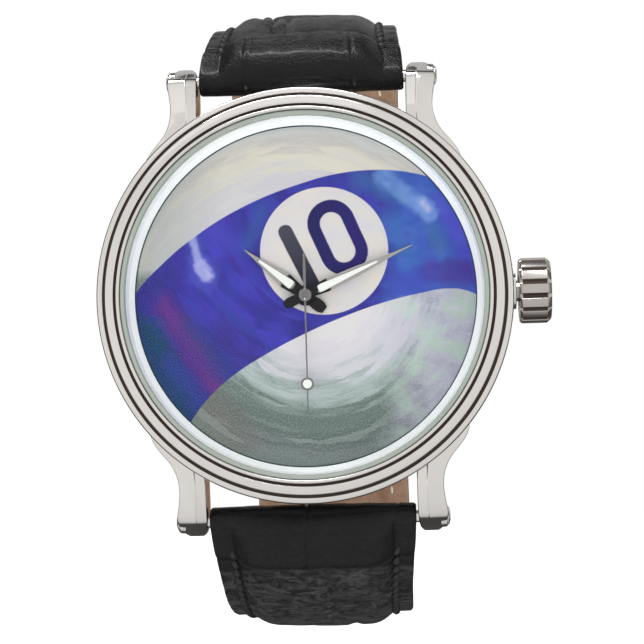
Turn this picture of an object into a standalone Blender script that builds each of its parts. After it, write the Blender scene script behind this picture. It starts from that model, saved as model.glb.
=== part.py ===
"""A three-hand quartz wristwatch with a printed dial and a two-piece leather strap.

Everything is first laid out in the watch's own directions (x to the crown, y to 12 o'clock,
z out of the dial, z = 0 on the flat outer face of the case back).  The empty "watch" then
stands it up, 12 o'clock to world +Z and the dial to world -Y, and scales it to metres:
every length and place below that empty is in millimetres.
"""
from math import atan2, cos, pi, radians, sin, sqrt, tau

import bmesh
import bpy
from mathutils import Matrix, Vector

# ---------------------------------------------------------------- driving dimensions, mm

ROUND = 44  # sides of the large turned pieces
SMALL = 16  # sides of the small turned pieces

# case
CASE_R = 19.05
CASE_BORE_R = 16.9
CASE_Z = (0.95, 6.4)
BACK_FACE_R = 15.8
BACK_R = 17.7
BEZEL_R = 19.8
BEZEL_BORE_R = 17.5
BEZEL_Z = (6.45, 9.4)
CRYSTAL_R = 17.0
CRYSTAL_Z = (8.15, 9.9)
DIAL_R = 16.8
DIAL_OPENING_R = 16.35
DIAL_Z = (6.0, 6.4)
LUG_GAP = 20.2
LUG_TIP_Y = 22.8

# strap
BAR_Y = 21.4
BAR_Z = 2.8
BAR_R = 0.6
ROLL_R = 1.35
STRAP_WIDTH = 19.7
BUCKLE_WIDTH = 18.0
TAIL_ARC_R = 50.5
BUCKLE_ARC_R = 55.0
HOLE_R = 0.9
HOLE_COUNT = 6

# crown and stem
STEM_Z = 3.7
CROWN_R = 3.15
CROWN_X = (20.45, 23.8)
CROWN_FLUTES = 14
PULL = 1.2  # travel of the crown between its two positions

# movement
MOVEMENT_R = 11.0
PLATE_Z = (4.4, 5.2)
BRIDGE_Z = (1.5, 1.9)
TRAIN_DISTANCE = 3.1  # seconds and minute axis to the third wheel
THIRD_ANGLE = radians(200)
STEP_MODULE = 0.147  # rotor, intermediate and seconds wheels
ROTOR_ANGLE = radians(60)
MOTION_MODULE = 0.13  # cannon pinion, minute wheel and hour wheel
SETTING_TEETH = 12

# hands, clockwise angles from 12 o'clock
HOUR_ANGLE = radians(308.5)
MINUTE_ANGLE = radians(66.5)
SECOND_ANGLE = radians(180)

SECONDS_PINION, THIRD_TEETH = 6, 45
THIRD_PINION, CENTRE_TEETH = 6, 48
ROTOR_PINION, INTERMEDIATE_TEETH = 6, 30
INTERMEDIATE_PINION, SECONDS_TEETH = 6, 36
CANNON_PINION, MINUTE_TEETH = 10, 30
MINUTE_PINION, HOUR_TEETH = 8, 32


def polar(radius, angle):
    return radius * cos(angle), radius * sin(angle)


# ---------------------------------------------------------------- scene and materials

for old in list(bpy.data.objects):
    bpy.data.objects.remove(old, do_unlink=True)

parts = bpy.data.collections.new("pool_ball_dial_wristwatch")
cutters = bpy.data.collections.new("cutters")
bpy.context.scene.collection.children.link(parts)
bpy.context.scene.collection.children.link(cutters)

watch = bpy.data.objects.new("watch", None)
watch.rotation_euler = (pi / 2, 0, 0)
watch.scale = (0.001, 0.001, 0.001)
watch.empty_display_size = 10
parts.objects.link(watch)


def material(name, colour, roughness, metallic=0.0, transmission=0.0):
    made = bpy.data.materials.new(name)
    made.use_nodes = True
    shader = made.node_tree.nodes["Principled BSDF"]
    shader.inputs["Base Color"].default_value = (*colour, 1.0)
    shader.inputs["Roughness"].default_value = roughness
    shader.inputs["Metallic"].default_value = metallic
    shader.inputs["Transmission Weight"].default_value = transmission
    made.diffuse_color = (*colour, 1.0)
    return made


POLISHED = material("polished_steel", (0.58, 0.55, 0.52), 0.09, 1.0)
BRUSHED = material("brushed_steel", (0.50, 0.49, 0.47), 0.32, 1.0)
GLASS = material("mineral_glass", (0.95, 0.97, 0.96), 0.02, 0.0, 0.95)
SEAL = material("grey_green_seal", (0.27, 0.31, 0.27), 0.5)
REHAUT = material("pale_rehaut", (0.70, 0.74, 0.76), 0.35)
PRINT = material("dial_print", (0.62, 0.62, 0.66), 0.35)
LUME = material("white_lume", (0.83, 0.84, 0.80), 0.6)
BRASS = material("brass", (0.62, 0.44, 0.16), 0.25, 1.0)
NICKEL = material("nickel_plate", (0.56, 0.55, 0.52), 0.22, 1.0)
STEEL = material("bright_steel", (0.52, 0.52, 0.52), 0.18, 1.0)
WHITE_PLASTIC = material("white_plastic", (0.75, 0.74, 0.70), 0.45)
BLACK_PLASTIC = material("black_plastic", (0.02, 0.02, 0.02), 0.4)
GREEN_BOARD = material("green_board", (0.03, 0.16, 0.06), 0.45)
COPPER = material("copper_winding", (0.60, 0.25, 0.10), 0.3, 1.0)
IRON = material("soft_iron", (0.33, 0.33, 0.34), 0.35, 1.0)
MAGNET = material("magnet", (0.12, 0.12, 0.13), 0.35, 0.8)
RUBBER = material("black_rubber", (0.015, 0.015, 0.015), 0.7)
LEATHER = material("black_leather", (0.012, 0.012, 0.013), 0.42)
LINING = material("tan_lining", (0.36, 0.20, 0.11), 0.65)


# ---------------------------------------------------------------- shape helpers


def new_object(name, mesh, look, parent=watch, at=(0, 0, 0), turn=(0, 0, 0), place=None):
    made = bpy.data.objects.new(name, mesh)
    (place or parts).objects.link(made)
    made.parent = parent
    made.location = at
    made.rotation_euler = turn
    if look:
        mesh.materials.clear()
        mesh.materials.append(look)
    return made


def bake(obj):
    """Replaces the modifiers by the mesh they make."""
    bpy.context.view_layer.update()
    graph = bpy.context.evaluated_depsgraph_get()
    mesh = bpy.data.meshes.new_from_object(obj.evaluated_get(graph))
    look = obj.data.materials[0] if obj.data.materials else None
    obj.modifiers.clear()
    obj.data = mesh
    mesh.materials.clear()
    if look:
        mesh.materials.append(look)
    return obj


def smooth(obj, degrees=32):
    for face in obj.data.polygons:
        face.use_smooth = True
    obj.data.set_sharp_from_angle(angle=radians(degrees))
    return obj


def turned(name, profile, look, steps=ROUND, **where):
    """A turned piece: profile is (radius, height) down the outer side, open on the axis or a closed ring."""
    mesh = bpy.data.meshes.new(name)
    closed = profile[0][0] > 0 or profile[-1][0] > 0
    points = [(r, 0, z) for r, z in profile]
    links = [(i, i + 1) for i in range(len(points) - 1)]
    if closed:
        links.append((len(points) - 1, 0))
    mesh.from_pydata(points, links, [])
    made = new_object(name, mesh, look, **where)
    screw = made.modifiers.new("turn", "SCREW")
    screw.axis = "Z"
    screw.angle = tau
    screw.steps = steps
    screw.render_steps = steps
    screw.use_merge_vertices = True
    screw.merge_threshold = 1e-4
    screw.use_smooth_shade = True
    return smooth(bake(made))


def ring(name, inner, outer, low, high, look, **where):
    profile = [(outer, high), (outer, low), (inner, low), (inner, high)]
    return turned(name, profile, look, **where)


def cylinder(name, radius, low, high, look, steps=SMALL, **where):
    profile = [(0, high), (radius, high), (radius, low), (0, low)]
    return turned(name, profile, look, steps=steps, **where)


def block(name, size, look, bevel=0.0, **where):
    mesh = bpy.data.meshes.new(name)
    shape = bmesh.new()
    bmesh.ops.create_cube(shape, size=1.0)
    bmesh.ops.scale(shape, vec=size, verts=shape.verts)
    if bevel:
        bmesh.ops.bevel(shape, geom=shape.edges[:], offset=bevel, segments=2, affect="EDGES")
    shape.to_mesh(mesh)
    shape.free()
    return new_object(name, mesh, look, **where)


def plate(name, outline, low, high, look, **where):
    """A flat piece from its outline, as a filled 2D curve between two heights."""
    curve = bpy.data.curves.new(name, "CURVE")
    curve.dimensions = "2D"
    curve.fill_mode = "BOTH"
    curve.extrude = (high - low) / 2
    spline = curve.splines.new("POLY")
    spline.points.add(len(outline) - 1)
    for point, (x, y) in zip(spline.points, outline):
        point.co = (x, y, 0, 1)
    spline.use_cyclic_u = True
    flat = bpy.data.objects.new(name + "_curve", curve)
    cutters.objects.link(flat)
    bpy.context.view_layer.update()
    graph = bpy.context.evaluated_depsgraph_get()
    mesh = bpy.data.meshes.new_from_object(flat.evaluated_get(graph))
    bpy.data.objects.remove(flat, do_unlink=True)
    bpy.data.curves.remove(curve)
    shape = bmesh.new()
    shape.from_mesh(mesh)
    bmesh.ops.remove_doubles(shape, verts=shape.verts, dist=1e-5)
    bmesh.ops.translate(shape, vec=(0, 0, (high + low) / 2), verts=shape.verts)
    bmesh.ops.recalc_face_normals(shape, faces=shape.faces)
    shape.to_mesh(mesh)
    shape.free()
    mesh.name = name
    return new_object(name, mesh, look, **where)


def gear(name, teeth, module, low, high, look, phase=0.0, **where):
    """A toothed disc whose first tooth points at phase, with its tooth tips left pointed."""
    pitch = tau / teeth
    radius = teeth * module / 2
    corners = [
        (-0.38, radius - 1.15 * module),
        (0, radius + 0.9 * module),
        (0.38, radius - 1.15 * module),
    ]
    outline = [
        polar(reach, phase + (tooth + share) * pitch)
        for tooth in range(teeth)
        for share, reach in corners
    ]
    return plate(name, outline, low, high, look, **where)


def tube_along(name, points, radius, look, sides=3, cyclic=False, **where):
    """A round wire along points, as a curve with a bevel and filled caps."""
    curve = bpy.data.curves.new(name, "CURVE")
    curve.dimensions = "3D"
    curve.bevel_depth = radius
    curve.bevel_resolution = sides
    curve.use_fill_caps = not cyclic
    spline = curve.splines.new("POLY")
    spline.points.add(len(points) - 1)
    for point, place in zip(spline.points, points):
        point.co = (*place, 1)
    spline.use_cyclic_u = cyclic
    wire = bpy.data.objects.new(name + "_curve", curve)
    cutters.objects.link(wire)
    bpy.context.view_layer.update()
    graph = bpy.context.evaluated_depsgraph_get()
    mesh = bpy.data.meshes.new_from_object(wire.evaluated_get(graph))
    bpy.data.objects.remove(wire, do_unlink=True)
    bpy.data.curves.remove(curve)
    shape = bmesh.new()
    shape.from_mesh(mesh)
    bmesh.ops.remove_doubles(shape, verts=shape.verts, dist=1e-5)
    bmesh.ops.recalc_face_normals(shape, faces=shape.faces)
    shape.to_mesh(mesh)
    shape.free()
    mesh.name = name
    return smooth(new_object(name, mesh, look, **where), 50)


def boolean(obj, others, operation):
    """Cuts or joins meshes for good, and drops the meshes that were used up."""
    for number, other in enumerate(others):
        step = obj.modifiers.new(f"{operation.lower()}_{number}", "BOOLEAN")
        step.operation = operation
        step.solver = "EXACT"
        step.object = other
    bake(obj)
    for other in others:
        bpy.data.objects.remove(other, do_unlink=True)
    return smooth(obj)


def join(obj, *others):
    return boolean(obj, others, "UNION")


def cut(obj, *others):
    return boolean(obj, others, "DIFFERENCE")


def hole(x, y, radius, low, high, steps=12):
    return cylinder("hole", radius, low, high, None, steps=steps, at=(x, y, 0), place=cutters)


def rounded(points, radius, segments=4):
    """An outline with its corners rounded by short arcs."""
    made = []
    count = len(points)
    for i, corner in enumerate(points):
        here = Vector(corner)
        before = Vector(points[i - 1]) - here
        after = Vector(points[(i + 1) % count]) - here
        reach = min(radius, before.length * 0.45, after.length * 0.45)
        start = here + before.normalized() * reach
        end = here + after.normalized() * reach
        for step in range(segments + 1):
            t = step / segments
            point = start * (1 - t) ** 2 + here * 2 * t * (1 - t) + end * t * t
            made.append((point.x, point.y))
    return made


# ---------------------------------------------------------------- case


def lug(name, side, end):
    """One lug: sections along y, each with a wide outer facet and a narrow inner one under a ridge."""
    stations = [
        # y, inner x, outer x, bottom z, top z
        (13.6, 0.0, 3.3, 1.3, 6.3),
        (15.4, 0.0, 2.75, 1.0, 6.25),
        (17.2, 0.0, 2.5, 0.9, 6.1),
        (19.6, 0.0, 2.8, 0.6, 5.5),
        (21.2, 0.0, 2.9, 0.5, 4.7),
        (22.3, 0.1, 2.6, 0.7, 3.7),
        (LUG_TIP_Y, 0.35, 2.2, 1.3, 2.7),
    ]
    shape = bmesh.new()
    sections = []
    for y, inner, outer, low, high in stations:
        ridge = inner + (outer - inner) * 0.37
        section = [
            (inner + 0.25, low),
            (outer - 0.35, low),
            (outer, low + (high - low) * 0.35),
            (outer - 0.1, high - (high - low) * 0.22),
            (ridge, high),
            (inner, high - (high - low) * 0.12),
            (inner, low + (high - low) * 0.1),
        ]
        sections.append(
            [shape.verts.new((side * (LUG_GAP / 2 + x), end * y, z)) for x, z in section]
        )
    for first, second in zip(sections, sections[1:]):
        for i, _ in enumerate(first):
            j = (i + 1) % len(first)
            shape.faces.new((first[i], first[j], second[j], second[i]))
    shape.faces.new(sections[0])
    shape.faces.new(sections[-1])
    bmesh.ops.recalc_face_normals(shape, faces=shape.faces)
    mesh = bpy.data.meshes.new(name)
    shape.to_mesh(mesh)
    shape.free()
    return new_object(name, mesh, POLISHED)


def build_case():
    low, high = CASE_Z
    profile = [
        (CASE_R - 0.35, high),
        (CASE_R, high - 0.5),
        (CASE_R, 3.2),
        (CASE_R - 0.25, 1.9),
        (CASE_R - 0.8, low),
        (CASE_BORE_R, low),
        (CASE_BORE_R, high),
    ]
    case = turned("case_middle", profile, POLISHED)
    lugs = [lug(f"lug_{s}_{e}", s, e) for s in (-1, 1) for e in (-1, 1)]
    collar = cylinder("collar", 1.75, 18.0, 20.15, None, at=(0, 0, STEM_Z), turn=(0, pi / 2, 0),
                      place=cutters)
    bosses = [
        cylinder("boss", 1.15, *sorted((s * 12.3, s * 13.04)), None, steps=20,
                 at=(0, e * BAR_Y, BAR_Z), turn=(0, pi / 2, 0), place=cutters)
        for s in (-1, 1) for e in (-1, 1)
    ]
    join(case, *lugs, collar, *bosses)
    holes = [
        cylinder("bar_hole", BAR_R + 0.08, -15, 15, None, steps=16, at=(0, e * BAR_Y, BAR_Z),
                 turn=(0, pi / 2, 0), place=cutters)
        for e in (-1, 1)
    ]
    tube_hole = cylinder("tube_hole", 1.06, 14, 21, None, at=(0, 0, STEM_Z),
                         turn=(0, pi / 2, 0), place=cutters)
    cut(case, *holes, tube_hole)


def build_case_back():
    """A snap-on back: a flat disc with a low skirt that grips inside the case."""
    profile = [
        (0, 0.95),
        (15.6, 0.95),
        (15.6, 1.95),
        (16.3, 1.95),
        (16.3, 0.9),
        (BACK_R, 0.9),
        (BACK_R, 0.6),
        (BACK_FACE_R, 0),
        (0, 0),
    ]
    turned("case_back", profile, BRUSHED)
    ring("case_back_gasket", 16.35, 16.84, 1.2, 1.7, RUBBER)


def build_bezel():
    """Three polished steps with a narrow groove between each two."""
    low, high = BEZEL_Z
    profile = [
        (BEZEL_BORE_R, high - 0.1),
        (BEZEL_BORE_R + 0.12, high),
        (17.9, high - 0.03),
        (18.05, high - 0.5),
        (18.3, high - 0.5),
        (18.42, high - 0.25),
        (18.9, high - 0.5),
        (19.05, high - 1.2),
        (19.4, high - 1.2),
        (BEZEL_R, high - 1.6),
        (BEZEL_R, low + 0.3),
        (BEZEL_R - 0.3, low),
        (BEZEL_BORE_R, low),
    ]
    turned("bezel", profile, POLISHED)


def build_glass():
    low, high = CRYSTAL_Z
    profile = [(0, high), (CRYSTAL_R - 1.6, high - 0.12), (CRYSTAL_R - 0.25, high - 0.45)]
    profile += [(CRYSTAL_R, high - 0.7), (CRYSTAL_R, low), (0, low)]
    turned("crystal", profile, GLASS)
    ring("crystal_gasket", CRYSTAL_R + 0.04, BEZEL_BORE_R - 0.05, low, low + 1.0, SEAL)
    rehaut = [
        (BEZEL_BORE_R - 0.06, low - 0.05),
        (BEZEL_BORE_R - 0.06, 6.5),
        (DIAL_OPENING_R, 6.5),
        (DIAL_OPENING_R + 0.05, 6.75),
        (CRYSTAL_R - 0.05, low - 0.05),
    ]
    turned("rehaut_ring", rehaut, REHAUT)


def build_dial():
    low, high = DIAL_Z
    disc = cylinder("dial", DIAL_R, low, high, PRINT, steps=ROUND)
    cut(disc, hole(0, 0, 0.85, 5, 8, 16))


def build_lug_bars():
    """Each bar is a rod with a domed head at one lug and a screw with the same head at the other."""
    for name, end in (("12", 1), ("6", -1)):
        where = {"at": (0, end * BAR_Y, BAR_Z), "turn": (0, pi / 2, 0), "steps": 16}
        head = [(0, -13.55), (0.5, -13.5), (0.95, -13.12), (0.95, -13.06)]
        bar = head + [(BAR_R, -13.06), (BAR_R, 12.0), (0, 12.0)]
        turned(f"lug_bar_{name}", bar[::-1], POLISHED, **where)
        screw = [(0, 13.55), (0.5, 13.5), (0.95, 13.12), (0.95, 13.06)]
        screw += [(BAR_R, 13.06), (BAR_R, 12.05), (0, 12.05)]
        turned(f"lug_screw_{name}", screw, POLISHED, **where)


# ---------------------------------------------------------------- crown and setting parts


def build_crown():
    """The fluted crown is a cup over the tube; it and the stem lie on the axis (y 0, z STEM_Z)."""
    start, end = CROWN_X
    along = {"at": (0, 0, STEM_Z), "turn": (0, pi / 2, 0)}
    turned("crown_tube", [(1.0, 22.3), (1.0, 16.85), (0.52, 16.85), (0.52, 22.3)],
           STEEL, steps=SMALL, **along)
    profile = [
        (0, end),
        (CROWN_R - 0.75, end),
        (CROWN_R - 0.1, end - 0.45),
        (CROWN_R, end - 0.7),
        (CROWN_R, start + 0.3),
        (CROWN_R - 0.25, start),
        (1.5, start),
        (1.5, 22.6),
        (0.52, 22.6),
        (0.52, 23.35),
        (0, 23.35),
    ]
    crown = turned("crown", profile, POLISHED, steps=CROWN_FLUTES * 2, **along)
    grooves = []
    for number in range(CROWN_FLUTES):
        y, z = polar(CROWN_R + 0.12, (number + 0.5) * tau / CROWN_FLUTES)
        grooves.append(
            cylinder("flute", 0.36, start - 1, end + 1, None, steps=6,
                     at=(0, y, STEM_Z + z), turn=(0, pi / 2, 0), place=cutters)
        )
    cut(crown, *grooves)
    turned("crown_gasket", [(1.45, 21.35), (1.45, 20.75), (1.05, 20.75), (1.05, 21.35)],
           RUBBER, steps=SMALL, **along)
    stem = [
        (0, 23.3),
        (0.45, 23.3),
        (0.45, 8.95),
        (0.25, 8.95),
        (0.25, 8.25),
        (0.45, 8.25),
        (0.45, 7.6),
        (0.3, 7.5),
        (0.3, 5.35),
        (0, 5.35),
    ]
    turned("stem", stem, STEEL, steps=12, **along)
    clutch = [(0.66, 7.1), (0.66, 5.5), (0.34, 5.5), (0.34, 7.1)]
    turned("clutch_wheel", clutch, STEEL, steps=SMALL, **along)


def build_setting_lever():
    """The lever's pin rides in the stem's neck and tips the lever as the crown is pulled."""
    pivot_x, pivot_y = 8.6 + PULL / 2, 3.4
    tip = (8.6 - pivot_x, 0.43 - pivot_y)
    side = Vector((-tip[1], tip[0])).normalized() * 0.4
    outline = [
        (tip[0] - side.x, tip[1] - side.y),
        (tip[0] + side.x, tip[1] + side.y),
        (0.75 * side.x / 0.4, 0.75 * side.y / 0.4),
        (0.2, 0.9),
        (-0.75 * side.x / 0.4, -0.75 * side.y / 0.4),
    ]
    lever = plate("setting_lever", rounded(outline, 0.25, 2), 2.6, 2.85, STEEL,
                  at=(pivot_x, pivot_y, 0))
    pin = cylinder("lever_pin", 0.13, 2.7, 4.2, None, steps=8, at=(8.6, 0.43, 0), place=cutters)
    post = cylinder("lever_post", 0.35, 2.4, 4.9, None, steps=12, at=(pivot_x, pivot_y, 0),
                    place=cutters)
    join(lever, pin, post)


# ---------------------------------------------------------------- wheel train


def wheel(name, look, axis, toothed, arbor, bore=None):
    """Toothed discs (teeth, module, low, high, phase) joined on one arbor (radius, low, high)."""
    centre = {"at": (*axis, 0)}
    first, *others = [
        gear(name if i == 0 else f"{name}_{i}", teeth, module, low, high, look,
             phase=phase, **centre)
        for i, (teeth, module, low, high, phase) in enumerate(toothed)
    ]
    radius, low, high = arbor
    others.append(cylinder(f"{name}_arbor", radius, low, high, None, steps=10, **centre))
    join(first, *others)
    if bore:
        cut(first, hole(*axis, bore, low - 1, high + 1))
    return first


def build_train():
    """Step motor rotor to seconds (30 : 1), seconds to minutes (60 : 1)."""
    third = polar(TRAIN_DISTANCE, THIRD_ANGLE)
    near = (INTERMEDIATE_PINION + SECONDS_TEETH) / 2 * STEP_MODULE
    far = near + (ROTOR_PINION + INTERMEDIATE_TEETH) / 2 * STEP_MODULE
    module_a = 2 * TRAIN_DISTANCE / (SECONDS_PINION + THIRD_TEETH)
    module_b = 2 * TRAIN_DISTANCE / (THIRD_PINION + CENTRE_TEETH)
    wheel("seconds_wheel", BRASS, (0, 0),
          [(SECONDS_TEETH, STEP_MODULE, 2.3, 2.5, ROTOR_ANGLE),
           (SECONDS_PINION, module_a, 2.4, 3.02, THIRD_ANGLE)],
          (0.12, 1.55, 7.5))
    wheel("third_wheel", BRASS, third,
          [(THIRD_TEETH, module_a, 2.62, 2.8, THIRD_ANGLE + pi + pi / THIRD_TEETH),
           (THIRD_PINION, module_b, 2.7, 3.6, THIRD_ANGLE + pi)],
          (0.13, 1.55, 5.1))
    wheel("centre_wheel", BRASS, (0, 0),
          [(CENTRE_TEETH, module_b, 3.2, 3.4, THIRD_ANGLE + pi / CENTRE_TEETH)],
          (0.3, 3.12, 7.15), bore=0.17)
    wheel("intermediate_wheel", WHITE_PLASTIC, polar(near, ROTOR_ANGLE),
          [(INTERMEDIATE_TEETH, STEP_MODULE, 2.62, 2.8, ROTOR_ANGLE),
           (INTERMEDIATE_PINION, STEP_MODULE, 2.2, 2.7,
            ROTOR_ANGLE + pi + pi / INTERMEDIATE_PINION)],
          (0.13, 1.55, 5.1))
    rotor = wheel("rotor", MAGNET, polar(far, ROTOR_ANGLE),
                  [(ROTOR_PINION, STEP_MODULE, 2.5, 3.05,
                    ROTOR_ANGLE + pi + pi / ROTOR_PINION)],
                  (0.13, 1.55, 5.1))
    magnet = cylinder("magnet", 1.1, 3.0, 3.95, None, steps=SMALL, at=(*polar(far, ROTOR_ANGLE), 0),
                      place=cutters)
    join(rotor, magnet)


def motion_centres():
    """Minute wheel and setting wheel: the first meshes with both pinions, the second drives it."""
    distance = (CANNON_PINION + MINUTE_TEETH) / 2 * MOTION_MODULE
    minute = polar(distance, radians(40))
    reach = (SETTING_TEETH + MINUTE_TEETH) / 2 * MOTION_MODULE
    setting = (minute[0] + sqrt(reach**2 - minute[1] ** 2), 0.0)
    return minute, setting


def build_motion_works():
    """Minutes to hours (12 : 1) under the dial, and the wheel that sets them."""
    minute, setting = motion_centres()
    toward = atan2(minute[1], minute[0])
    across = atan2(minute[1] - setting[1], minute[0] - setting[0])
    cannon = wheel("cannon_pinion", STEEL, (0, 0),
                   [(CANNON_PINION, MOTION_MODULE, 5.26, 5.5, toward)],
                   (0.46, 5.26, 7.1), bore=0.33)
    wheel("hour_wheel", BRASS, (0, 0),
          [(HOUR_TEETH, MOTION_MODULE, 5.58, 5.78, toward + pi / HOUR_TEETH)],
          (0.7, 5.56, 6.75), bore=0.5)
    wheel("minute_wheel", BRASS, minute,
          [(MINUTE_TEETH, MOTION_MODULE, 5.3, 5.46, toward + pi + pi / MINUTE_TEETH),
           (MINUTE_PINION, MOTION_MODULE, 5.38, 5.84, toward + pi)],
          (0.34, 5.3, 5.84), bore=0.24)
    into = across + pi
    tooth = toward + pi + pi / MINUTE_TEETH
    pitch = tau / MINUTE_TEETH
    offset = (into - tooth) / pitch
    share = offset - round(offset)
    phase = across - (share + 0.5) * tau / SETTING_TEETH
    wheel("setting_wheel", STEEL, setting,
          [(SETTING_TEETH, MOTION_MODULE, 5.3, 5.46, phase),
           (SETTING_TEETH, MOTION_MODULE * 1.15, 3.6, 3.85, phase)],
          (0.3, 3.56, 5.5))
    return cannon


# ---------------------------------------------------------------- movement frame and motor


def build_frame():
    minute, setting = motion_centres()
    near = (INTERMEDIATE_PINION + SECONDS_TEETH) / 2 * STEP_MODULE
    far = near + (ROTOR_PINION + INTERMEDIATE_TEETH) / 2 * STEP_MODULE
    pivots = [polar(TRAIN_DISTANCE, THIRD_ANGLE), polar(near, ROTOR_ANGLE), polar(far, ROTOR_ANGLE)]
    low, high = PLATE_Z
    main = cylinder("main_plate", MOVEMENT_R, low, high, NICKEL, steps=36)
    post = cylinder("post", 0.2, high - 0.2, 5.9, None, steps=12, at=(*minute, 0), place=cutters)
    join(main, post)
    holes = [hole(x, y, 0.17, 0, 9, 8) for x, y in pivots]
    holes += [hole(0, 0, 0.36, 0, 9), hole(*setting, 0.36, 0, 9)]
    holes += [hole(8.6 + PULL / 2, 3.4, 0.4, 3, 4.95)]
    cut(main, *holes)
    low, high = BRIDGE_Z
    bridge = cylinder("train_bridge", MOVEMENT_R - 0.3, low, high, BRUSHED, steps=36)
    pillars = [
        cylinder("pillar", 0.6, low + 0.2, PLATE_Z[0] - 0.05, None, steps=12,
                 at=(x, y, 0), place=cutters)
        for x, y in PILLARS
    ]
    join(bridge, *pillars)
    clear = [hole(x, y, 0.17, 0, 3, 8) for x, y in pivots + [(0, 0)]]
    clear += [hole(*BATTERY, 3.6, 0, 3, 32)]
    clear += [hole(x, y, 0.36, 0, 2.2, 8) for x, y in PILLARS]
    cut(bridge, *clear)
    for number, (x, y) in enumerate(PILLARS, 1):
        shank = [(0, 1.45), (0.75, 1.45), (0.75, 1.12), (0, 1.12)]
        screw = turned(f"bridge_screw_{number}", shank, STEEL, steps=12, at=(x, y, 0))
        join(screw, cylinder("shank", 0.3, 1.3, 2.15, None, steps=8, at=(x, y, 0), place=cutters))
        slot = block("slot", (2, 0.22, 0.3), None, at=(x, y, 1.08), turn=(0, 0, number),
                     place=cutters)
        cut(screw, slot)


BATTERY = (4.6, -5.7)
PILLARS = [(-8.9, 2.4), (8.3, 5.0), (-0.2, -5.4)]


def build_holder():
    """The plastic ring that centres the movement in the case, slotted for the stem."""
    holder = ring("movement_holder", MOVEMENT_R + 0.2, CASE_BORE_R - 0.15, 2.1, 5.85,
                  WHITE_PLASTIC, steps=36)
    slot = block("stem_slot", (8, 1.3, 1.3), None, at=(14, 0, STEM_Z), place=cutters)
    cut(holder, slot)


def build_electrics():
    """Battery, crystal can, driver chip and board, and the step motor's coil and stator."""
    cell = [(0, 3.5), (2.6, 3.5), (2.75, 3.3), (3.3, 3.25), (3.4, 3.1), (3.4, 1.45), (3.3, 1.35), (0, 1.35)]
    turned("battery", cell, STEEL, steps=20, at=(*BATTERY, 0))
    strap = plate("battery_clamp", rounded([(-5.3, -0.9), (4.2, -0.9), (4.2, 0.9), (-5.3, 0.9)], 0.6),
                  1.1, 1.28, STEEL, at=(*BATTERY, 0), turn=(0, 0, radians(20)))
    cut(strap, hole(BATTERY[0] - 4.4 * cos(radians(20)), BATTERY[1] - 4.4 * sin(radians(20)), 0.35, 0, 2))
    sector = [polar(10.6, radians(192 + 10 * i)) for i in range(9)]
    sector += [polar(6.8, radians(272 - 10 * i)) for i in range(9)]
    plate("circuit_board", sector, 3.95, 4.12, GREEN_BOARD)
    block("driver_chip", (1.7, 1.7, 0.55), BLACK_PLASTIC, bevel=0.1, at=(-6.4, -6.2, 3.6),
          turn=(0, 0, radians(45)))
    cylinder("quartz_can", 0.72, -4.2, 0.6, NICKEL, steps=16, at=(0, -8.7, 3.1), turn=(0, pi / 2, 0))
    coil = [(1.05, 1.6), (1.05, -5.0), (0.42, -5.0), (0.42, 1.6)]
    turned("coil", coil, COPPER, steps=20, at=(0, 8.3, 3.2), turn=(0, pi / 2, 0))
    build_stator()


def build_stator():
    """A flat iron yoke around the rotor, with its core through the coil."""
    far = (INTERMEDIATE_PINION + SECONDS_TEETH + ROTOR_PINION + INTERMEDIATE_TEETH) / 2 * STEP_MODULE
    x, y = polar(far, ROTOR_ANGLE)
    outline = [
        (-6.6, 4.35), (1.6, 4.35), (1.9, 3.75), (4.4, 3.45), (4.9, 4.6),
        (4.9, 6.3), (2.9, 8.0), (2.9, 9.0), (1.7, 9.0), (1.7, 6.75), (-5.1, 6.75), (-5.1, 9.0), (-6.6, 9.0),
    ]
    stator = plate("stator", outline, 3.05, 3.35, IRON)
    core = block("core", (8.2, 0.5, 0.3), None, at=(-1.8, 8.3, 3.2), place=cutters)
    join(stator, core)
    cut(stator, hole(x, y, 1.3, 2, 5, 24))


# ---------------------------------------------------------------- hands


def hand_outline(tip, tail, half, bulge):
    """A lance shape along +y: pointed tip, widest at bulge, tapered square tail."""
    return [
        (0.05, tip), (half * 0.35, tip * 0.72), (half, bulge), (half * 0.62, 0.35),
        (half * 0.62, -0.35), (half * 0.8, -tail * 0.55), (half * 0.45, -tail),
        (-half * 0.45, -tail), (-half * 0.8, -tail * 0.55), (-half * 0.62, -0.35),
        (-half * 0.62, 0.35), (-half, bulge), (-half * 0.35, tip * 0.72), (-0.05, tip),
    ]


def build_hand(name, angle, outline, low, high, hub, bore, window):
    """A flat hand with a hub, and its white filling as a piece of its own in the window."""
    turn = (0, 0, -angle)
    hand = plate(name, outline, low, high, POLISHED, turn=turn)
    join(hand, cylinder("hub", hub, low - 0.05, high + 0.02, None, steps=16, place=cutters))
    cut(hand, hole(0, 0, bore, 0, 12, 16))
    base, half_base, top, half_top = window
    opening = [(half_base, base), (half_top, top), (-half_top, top), (-half_base, base)]
    cutter = plate("window", rounded(opening, 0.3, 3), low - 1, high + 1, None, turn=turn, place=cutters)
    cut(hand, cutter)
    inset = 0.02
    filling = [
        (half_base - inset, base + inset), (half_top - inset, top - inset),
        (-half_top + inset, top - inset), (-half_base + inset, base + inset),
    ]
    plate(name + "_lume", rounded(filling, 0.29, 3), low + 0.01, high + 0.02, LUME, turn=turn)


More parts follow.
